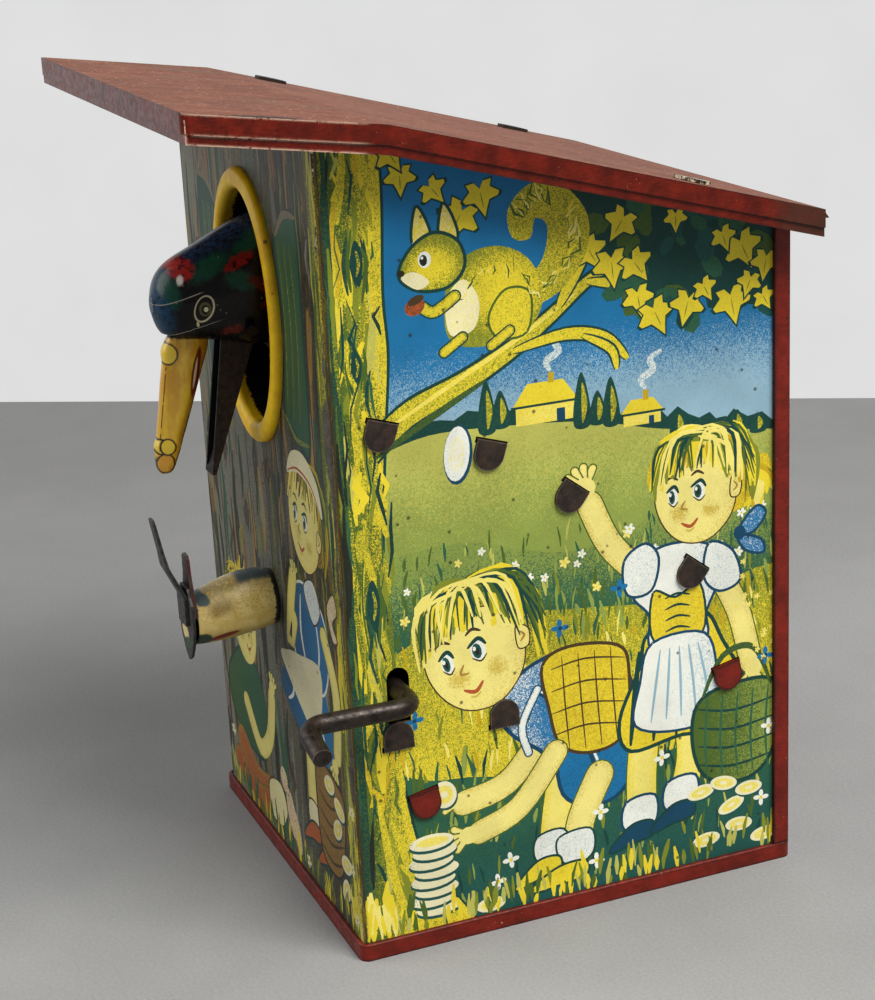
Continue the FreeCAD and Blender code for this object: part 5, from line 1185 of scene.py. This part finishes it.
    # sitting child behind the coin holder
    art.blob([(-29, 31), (-22, 35), (-13, 33), (-9, 24), (-12, 16), (-22, 15), (-31, 19), (-33, 26)],
             "green", "moss", across(-32, -9, 0.45, 0.85), "dark", 0.6)
    limb(art, [(-22, 24), (-15, 17.5), (-8.5, 22), (-5.5, 31)], 3.8)
    hand(art, (-5, 33), 70, 0.85)
    limb(art, [(-27, 14), (-18, 9.5), (-9, 10.5)], 6.2, "rust", "ochre", 0.6)
    limb(art, [(-30, 9), (-20, 6), (-12, 7.5)], 5.4, "rust", "ochre", 0.75)
    art.blob([(-11, 12.5), (-4, 14.5), (-1, 10), (-5, 5.5), (-11, 6)], "cream", "yellow", 0.6, "umber",
             0.4)
    for place, size in (((1.6, 11), (2.3, 4.8)), ((-1.6, 16.5), (1.9, 2.4)), ((4.2, 8.5), (1.9, 4.2))):
        art.oval(place, size, "cream", "rust", 0.55, "umber", 0.35, turn=18)
    child_head(art, (-20, 41), 8.6, 1, 6, "yellow", "gold", "short")
    art.hair(24, [(-25, 47), (-20, 50), (-15, 48)], (110, 60, 2, 5), (0.5, 1.1),
             ["yellow", "gold", "yellow"])
    art.blades(130, -38, 38, 1.5, 5, (2, 6), (0.5, 1.1), ["moss", "olive", "green", "yellow"])
    art.blades(24, 32, 37.5, 2, 9, (2, 6), (0.6, 1.2), ["yellow", "butter"])
    for place in ((34.6, 6), (33.8, 15), (10, 5.5), (-33, 14), (35.2, 26)):
        art.flower(place, 1.3, "cream", "gold", 5)
    return art


# ---------------------------------------------------------------- upper beak


# height, front, back and half width of the beak's sections, in millimetres
BEAK_STATIONS = (
    (103.9, -52.2, -49.6, 1.9), (102.2, -53.2, -48.6, 2.0), (100.8, -54.6, -48.0, 2.1),
    (99.4, -55.5, -48.4, 2.15), (97.0, -55.8, -49.2, 2.2), (93.0, -56.5, -50.6, 2.15),
    (89.0, -57.1, -52.0, 2.05), (85.0, -57.8, -53.4, 1.85), (82.5, -58.2, -54.4, 1.7),
    (80.5, -58.5, -55.0, 1.55), (79.2, -58.5, -55.5, 1.4), (78.3, -58.3, -55.9, 1.1),
    (77.8, -57.9, -56.3, 0.75), (77.6, -57.5, -56.8, 0.3),
)


def bump(height, centre, reach):
    """Smooth swelling: 1 at the centre, 0 beyond the reach."""
    return max(0.0, 1 - ((height - centre) / reach) ** 2) ** 2


def beak_ring(height, front, back, half):
    """Section of the beak: a rounded channel that is open to the rear."""
    swell = 0.32 * bump(height, 98.2, 1.7) + 0.34 * bump(height, 82.3, 1.7)
    deep = back - front
    outer = (half + swell, deep + swell * 0.8)
    inner = (max(half - 0.5, half * 0.5), max(deep - 0.6, deep * 0.5))
    loop = []
    for (wide, reach), order in ((outer, range(13)), (inner, range(12, -1, -1))):
        for k in order:
            angle = math.pi * k / 12
            c, s = math.cos(angle), math.sin(angle)
            x = -wide * math.copysign(abs(c) ** 0.62, c)
            loop.append(Vector((x, back - reach * abs(s) ** 0.62, height)) * MM)
    return loop


def add_beak():
    """Beak with swollen lobes at the root and above the tip."""
    rings = []
    steps = 6
    for (z0, *a), (z1, *b) in zip(BEAK_STATIONS, BEAK_STATIONS[1:]):
        for k in range(steps):
            t = k / steps
            rings.append(beak_ring(z0 + (z1 - z0) * t, *(p + (q - p) * t for p, q in zip(a, b))))
    rings.append(beak_ring(*BEAK_STATIONS[-1]))
    shape = bmesh.new()
    rows = [[shape.verts.new(p) for p in ring] for ring in rings]
    count = len(rows[0])
    for upper, lower in zip(rows, rows[1:]):
        for i in range(count):
            j = (i + 1) % count
            shape.faces.new((upper[i], upper[j], lower[j], lower[i]))
    half = count // 2
    for row in (rows[0], rows[-1]):
        for i in range(half - 1):
            shape.faces.new((row[i], row[i + 1], row[count - 2 - i], row[count - 1 - i]))
    bmesh.ops.recalc_face_normals(shape, faces=shape.faces)
    mesh = bpy.data.meshes.new("upper_beak_shell")
    shape.to_mesh(mesh)
    shape.free()
    mesh.shade_smooth()
    mesh.materials.append(BEAK)
    beak = bpy.data.objects.new("upper_beak_shell", mesh)
    bpy.context.scene.collection.objects.link(beak)
    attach(beak, "bird")
    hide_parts("upper_beak")


# ---------------------------------------------------------------- the printed walls


def fold_place(level, offset):
    """Point of the house's outline at a distance along the side wall, past its front fold."""
    flat = HOUSE_HALF_Y - FOLD_RADIUS
    if level >= -flat:
        return HOUSE_HALF_X + offset, level
    angle = (-flat - level) / FOLD_RADIUS
    radius = FOLD_RADIUS + offset
    return (HOUSE_HALF_X - FOLD_RADIUS + radius * math.cos(angle), -flat - radius * math.sin(angle))


def side_bend(side):
    """Takes the developed side to its place on the right (1) or the left (-1) wall."""
    def bend(level, height):
        x, y = fold_place(level, SKIN)
        return side * x * MM, y * MM, height * MM
    return bend


def front_bend(level, height):
    """Takes the developed front to its place on the house."""
    flat = HOUSE_HALF_X - FOLD_RADIUS
    side = 1 if level > 0 else -1
    angle = max(abs(level) - flat, 0) / FOLD_RADIUS
    radius = FOLD_RADIUS + SKIN
    x = side * (min(abs(level), flat) + radius * math.sin(angle))
    y = -(HOUSE_HALF_Y - FOLD_RADIUS) - radius * math.cos(angle)
    return x * MM, y * MM, height * MM


def slot_hole(y, z, slope):
    """Corners of a tab's slot in the side wall."""
    wide, high = 5.7, 1.0
    c, s = math.cos(math.radians(slope)), math.sin(math.radians(slope))
    corners = ((-wide / 2, -high / 2), (wide / 2, -high / 2), (wide / 2, high / 2), (-wide / 2, high / 2))
    return [(y + a * c - b * s, z + a * s + b * c) for a, b in corners]


def side_holes():
    """Slots of the inner plates' tabs, and last the slot of the lever, which only one side has."""
    holes = []
    bend_y, bend_z = CHUTE_BEND
    for y in CHUTE_TABS:
        slope = CHUTE_FRONT_SLOPE if y < bend_y else CHUTE_BACK_SLOPE
        holes.append(slot_hole(y, bend_z - (y - bend_y) * math.tan(math.radians(slope)), -slope))
    front_y, front_z = PARTITION_FRONT
    for y in PARTITION_TABS:
        rise_here = (y - front_y) * math.tan(math.radians(PARTITION_SLOPE))
        holes.append(slot_hole(y, front_z + rise_here, PARTITION_SLOPE))
    for y in BEARING_TABS:
        holes.append(slot_hole(y, BEARING_HEIGHT, 0))
    y, low, high = LEVER_SLOT
    top = oval((y, high), (LEVER_SLOT_HALF, LEVER_SLOT_HALF), start=0, end=180, count=12)
    return holes + [top + [(y - LEVER_SLOT_HALF, low), (y + LEVER_SLOT_HALF, low)]]


def fold_wear(distance):
    """Wear of the ink, which fades within a short distance from the fold."""
    return np.clip(1 - distance / 1.6, 0, 1) ** 1.5


def print_walls():
    """The picture of the sides, drawn once for both, and the picture of the front."""
    quarter = FOLD_RADIUS * math.pi / 4
    edge = HOUSE_HALF_Y - FOLD_RADIUS + quarter
    arc = [FOLD_RADIUS * math.pi / 4 * k / 4 for k in range(1, 4)]
    outline = [(-edge, PAN_TOP), (REAR_CRIMP, PAN_TOP),
               (REAR_CRIMP, roof_height(REAR_CRIMP) - UNDER_ROOF),
               (ROOF_LINE[1][0], ROOF_LINE[1][1] - UNDER_ROOF), (-edge, roof_height(-edge) - UNDER_ROOF)]
    art = right_picture(7)
    add_children(art)
    for step in arc:
        art.shapes.insert(1, ([(-42, 1), (-edge + step, 1), (-edge + step, 143), (-42, 143)],
                              *art.shapes[0][1:]))
    sheet = lay_out(art, outline, side_holes())
    for side, closed_holes, name in ((1, 0, "print_right"), (-1, 1, "print_left")):
        print_skin(name, art, sheet, closed_holes, side_bend(side),
                   lambda u, v: fold_wear(u + edge))
    width = HOUSE_HALF_X - FOLD_RADIUS + quarter
    top = roof_height(-HOUSE_HALF_Y) - UNDER_ROOF
    mouth = oval(MOUTH_CENTRE, MOUTH_SIZE, count=48)
    art = front_picture(5)
    sheet = lay_out(art, [(-width, PAN_TOP), (width, PAN_TOP), (width, top), (-width, top)], [mouth])
    print_skin("print_front", art, sheet, 0, front_bend,
               lambda u, v: fold_wear(width - abs(u)))


# ---------------------------------------------------------------- scene


def look_matrix():
    """Camera axes from its azimuth, elevation and roll."""
    az, el, roll = (math.radians(a) for a in (CAMERA_AZIMUTH, CAMERA_ELEVATION, CAMERA_ROLL))
    back = Vector((math.sin(az) * math.cos(el), -math.cos(az) * math.cos(el), math.sin(el)))
    right = Vector((math.cos(az), math.sin(az), 0))
    up = back.cross(right)
    turned = right * math.cos(roll) + up * math.sin(roll)
    upright = up * math.cos(roll) - right * math.sin(roll)
    return Matrix((turned, upright, back)).transposed().to_4x4()


def add_camera():
    camera = bpy.data.objects.new("camera", bpy.data.cameras.new("camera"))
    bpy.context.scene.collection.objects.link(camera)
    camera.data.lens = CAMERA_LENS
    camera.data.sensor_width = 36
    camera.data.clip_start = 0.01
    camera.matrix_world = Matrix.Translation(Vector(CAMERA_PLACE) * MM) @ look_matrix()
    bpy.context.scene.camera = camera


def add_light(name, place, target, size, power, colour):
    light = bpy.data.lights.new(name, "AREA")
    light.shape = "RECTANGLE"
    light.size, light.size_y = size
    light.energy = power
    light.color = colour
    lamp = bpy.data.objects.new(name, light)
    lamp.location = place
    lamp.rotation_euler = (Vector(target) - Vector(place)).to_track_quat("-Z", "Y").to_euler()
    bpy.context.scene.collection.objects.link(lamp)


def add_stage():
    """Pale table, with painted shade towards the far side and the left and painted light towards the near
    right, and a paler backdrop behind it.
    """
    table = Finish("table")
    weave = table.ramp(table.noise(1.6, 3, 0.8), 0.3, 0.7, 0.9, 1.08)
    cloud = table.math("MULTIPLY", weave, table.ramp(table.noise(0.02, 3, 0.6), 0.3, 0.7, 0.94, 1.04))
    # painted shade and light: the table darkens towards the far side and the left and brightens towards
    # the near right
    depth = table.math("MULTIPLY_ADD", table.y, -EDGE_X, table.math("MULTIPLY", table.x, EDGE_Y))
    width = table.math("MULTIPLY_ADD", table.y, EDGE_Y, table.math("MULTIPLY", table.x, EDGE_X))
    cloud = table.math("MULTIPLY", cloud, table.ramp(depth, -290, 120, 0.74, 1.04))
    cloud = table.math("MULTIPLY", cloud, table.ramp(width, -160, 120, 0.92, 1.1))
    table.surface(table.shade(srgb("868788"), cloud), 0.8)
    edge = Vector(TABLE_EDGE)
    along = Vector((EDGE_X, EDGE_Y, 0))
    near = Vector((EDGE_Y, -EDGE_X, 0))
    far = edge - near * 2.5
    ground = [edge + along * a + near * b for a, b in ((-3, 0), (-3, 3), (3, 3), (3, 0))]
    cloth = [far + along * a + Vector((0, 0, c))
             for a, c in ((-5, 3.0), (-5, -1.5), (5, -1.5), (5, 3.0))]
    for name, finish, corners in (("floor", table.material, ground),
                                  ("backdrop", backdrop_finish(), cloth)):
        mesh = bpy.data.meshes.new(name)
        mesh.from_pydata(corners, [], [(0, 1, 2, 3)])
        mesh.materials.append(finish)
        sheet = bpy.data.objects.new(name, mesh)
        bpy.context.scene.collection.objects.link(sheet)


def backdrop_finish():
    """Cloth with a light of its own, because it stands far from the lamps."""
    f = Finish("backdrop")
    cloth = f.shade(srgb("E2E3E2"), f.cloud((0.004, 3), 0.3, 0.7, 0.97, 1.02))
    f.surface(srgb("303030"), 0.9, specular=0.0)
    f.feed(f.shader.inputs["Emission Color"], cloth)
    f.shader.inputs["Emission Strength"].default_value = 0.95
    return f.material


def add_world():
    """Weak even light from all round."""
    world = bpy.data.worlds.new("studio")
    world.use_nodes = True
    sky = world.node_tree.nodes["Background"]
    sky.inputs["Color"].default_value = (0.94, 0.95, 1.0, 1)
    sky.inputs["Strength"].default_value = 0.31
    bpy.context.scene.world = world
    bpy.context.scene.view_settings.view_transform = "Standard"


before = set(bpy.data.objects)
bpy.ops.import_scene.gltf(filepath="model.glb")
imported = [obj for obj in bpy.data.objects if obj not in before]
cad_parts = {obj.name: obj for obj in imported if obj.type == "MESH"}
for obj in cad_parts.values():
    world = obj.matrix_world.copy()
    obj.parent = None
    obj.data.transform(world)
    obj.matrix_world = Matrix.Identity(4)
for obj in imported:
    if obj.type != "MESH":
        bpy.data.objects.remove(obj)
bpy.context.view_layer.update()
PRINTED = printed_finish()
RED = paint_finish("red_enamel", srgb("7A1F12"), srgb("5C150B"), srgb("24130E"), chips=0.72, edge=0.9)
HEAD = head_finish()
BEAK = beak_finish()
RING = ring_finish()
HOLDER = holder_finish()
LEAF = leaf_finish()
PRONG = prong_finish()
PIN = bare_finish("painted_pin", srgb("0D0B0B"), srgb("090707"), 0.5, 0.0)
JAW = jaw_finish()
DARK_TIN = bare_finish("dark_tin", srgb("3A2A20"), srgb("1D1510"), 0.55, 0.3)
BARE_TIN = bare_finish("bare_tin", srgb("8D8880"), srgb("5E5348"), 0.4, 0.85)
WIRE = bare_finish("worn_wire", srgb("3A302A"), srgb("1D1713"), 0.38, 0.6)
STEEL = bare_finish("spring_steel", srgb("A09E9A"), srgb("75706A"), 0.3, 0.9)
BRASS = bare_finish("lock_brass", srgb("A58A4C"), srgb("6E5A30"), 0.35, 0.85)
INSIDE = shell_finish()
ROOF = roof_finish()

FINISHES = {
    "house_shell": INSIDE, "rear_wall": RED, "base_pan": RED, "roof": ROOF, "entrance_ring": RING,
    "coin_chute": DARK_TIN, "partition": RED, "bearing_plate": DARK_TIN, "axle_bracket": BARE_TIN,
    "bird_axle": WIRE, "axle_cap_left": BARE_TIN, "axle_cap_right": BARE_TIN, "bracket_rivets": BARE_TIN,
    "crank_lever": WIRE, "return_spring": STEEL, "bird_head_right": HEAD, "bird_head_left": HEAD,
    "bird_arm": BARE_TIN, "arm_bush": BARE_TIN, "neck_rivets": PIN, "upper_beak": BEAK,
    "beak_rivet": HEAD, "lower_beak": JAW, "jaw_pin": HEAD, "holder_body": HOLDER,
    "holder_washer": BARE_TIN, "holder_face": LEAF, "holder_prong_rear": PRONG,
    "holder_prong_front": PRONG, "coin_door": RED, "hinge_pin": BARE_TIN, "lock_barrel": BRASS,
    "lock_plug": BRASS, "lock_cam": BARE_TIN,
}
for node, finish in FINISHES.items():
    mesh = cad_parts[node].data
    mesh.materials.clear()
    mesh.materials.append(finish)
add_beak()
print_walls()
add_stage()
add_world()
add_camera()
add_light("key", (0.65, 0.28, 1.1), (0, 0, 0.06), (0.7, 0.7), 24, (1.0, 0.97, 0.91))
add_light("fill", (-0.5, -0.9, 0.6), (0, 0, 0.07), (0.8, 0.8), 7, (1.0, 0.97, 0.92))
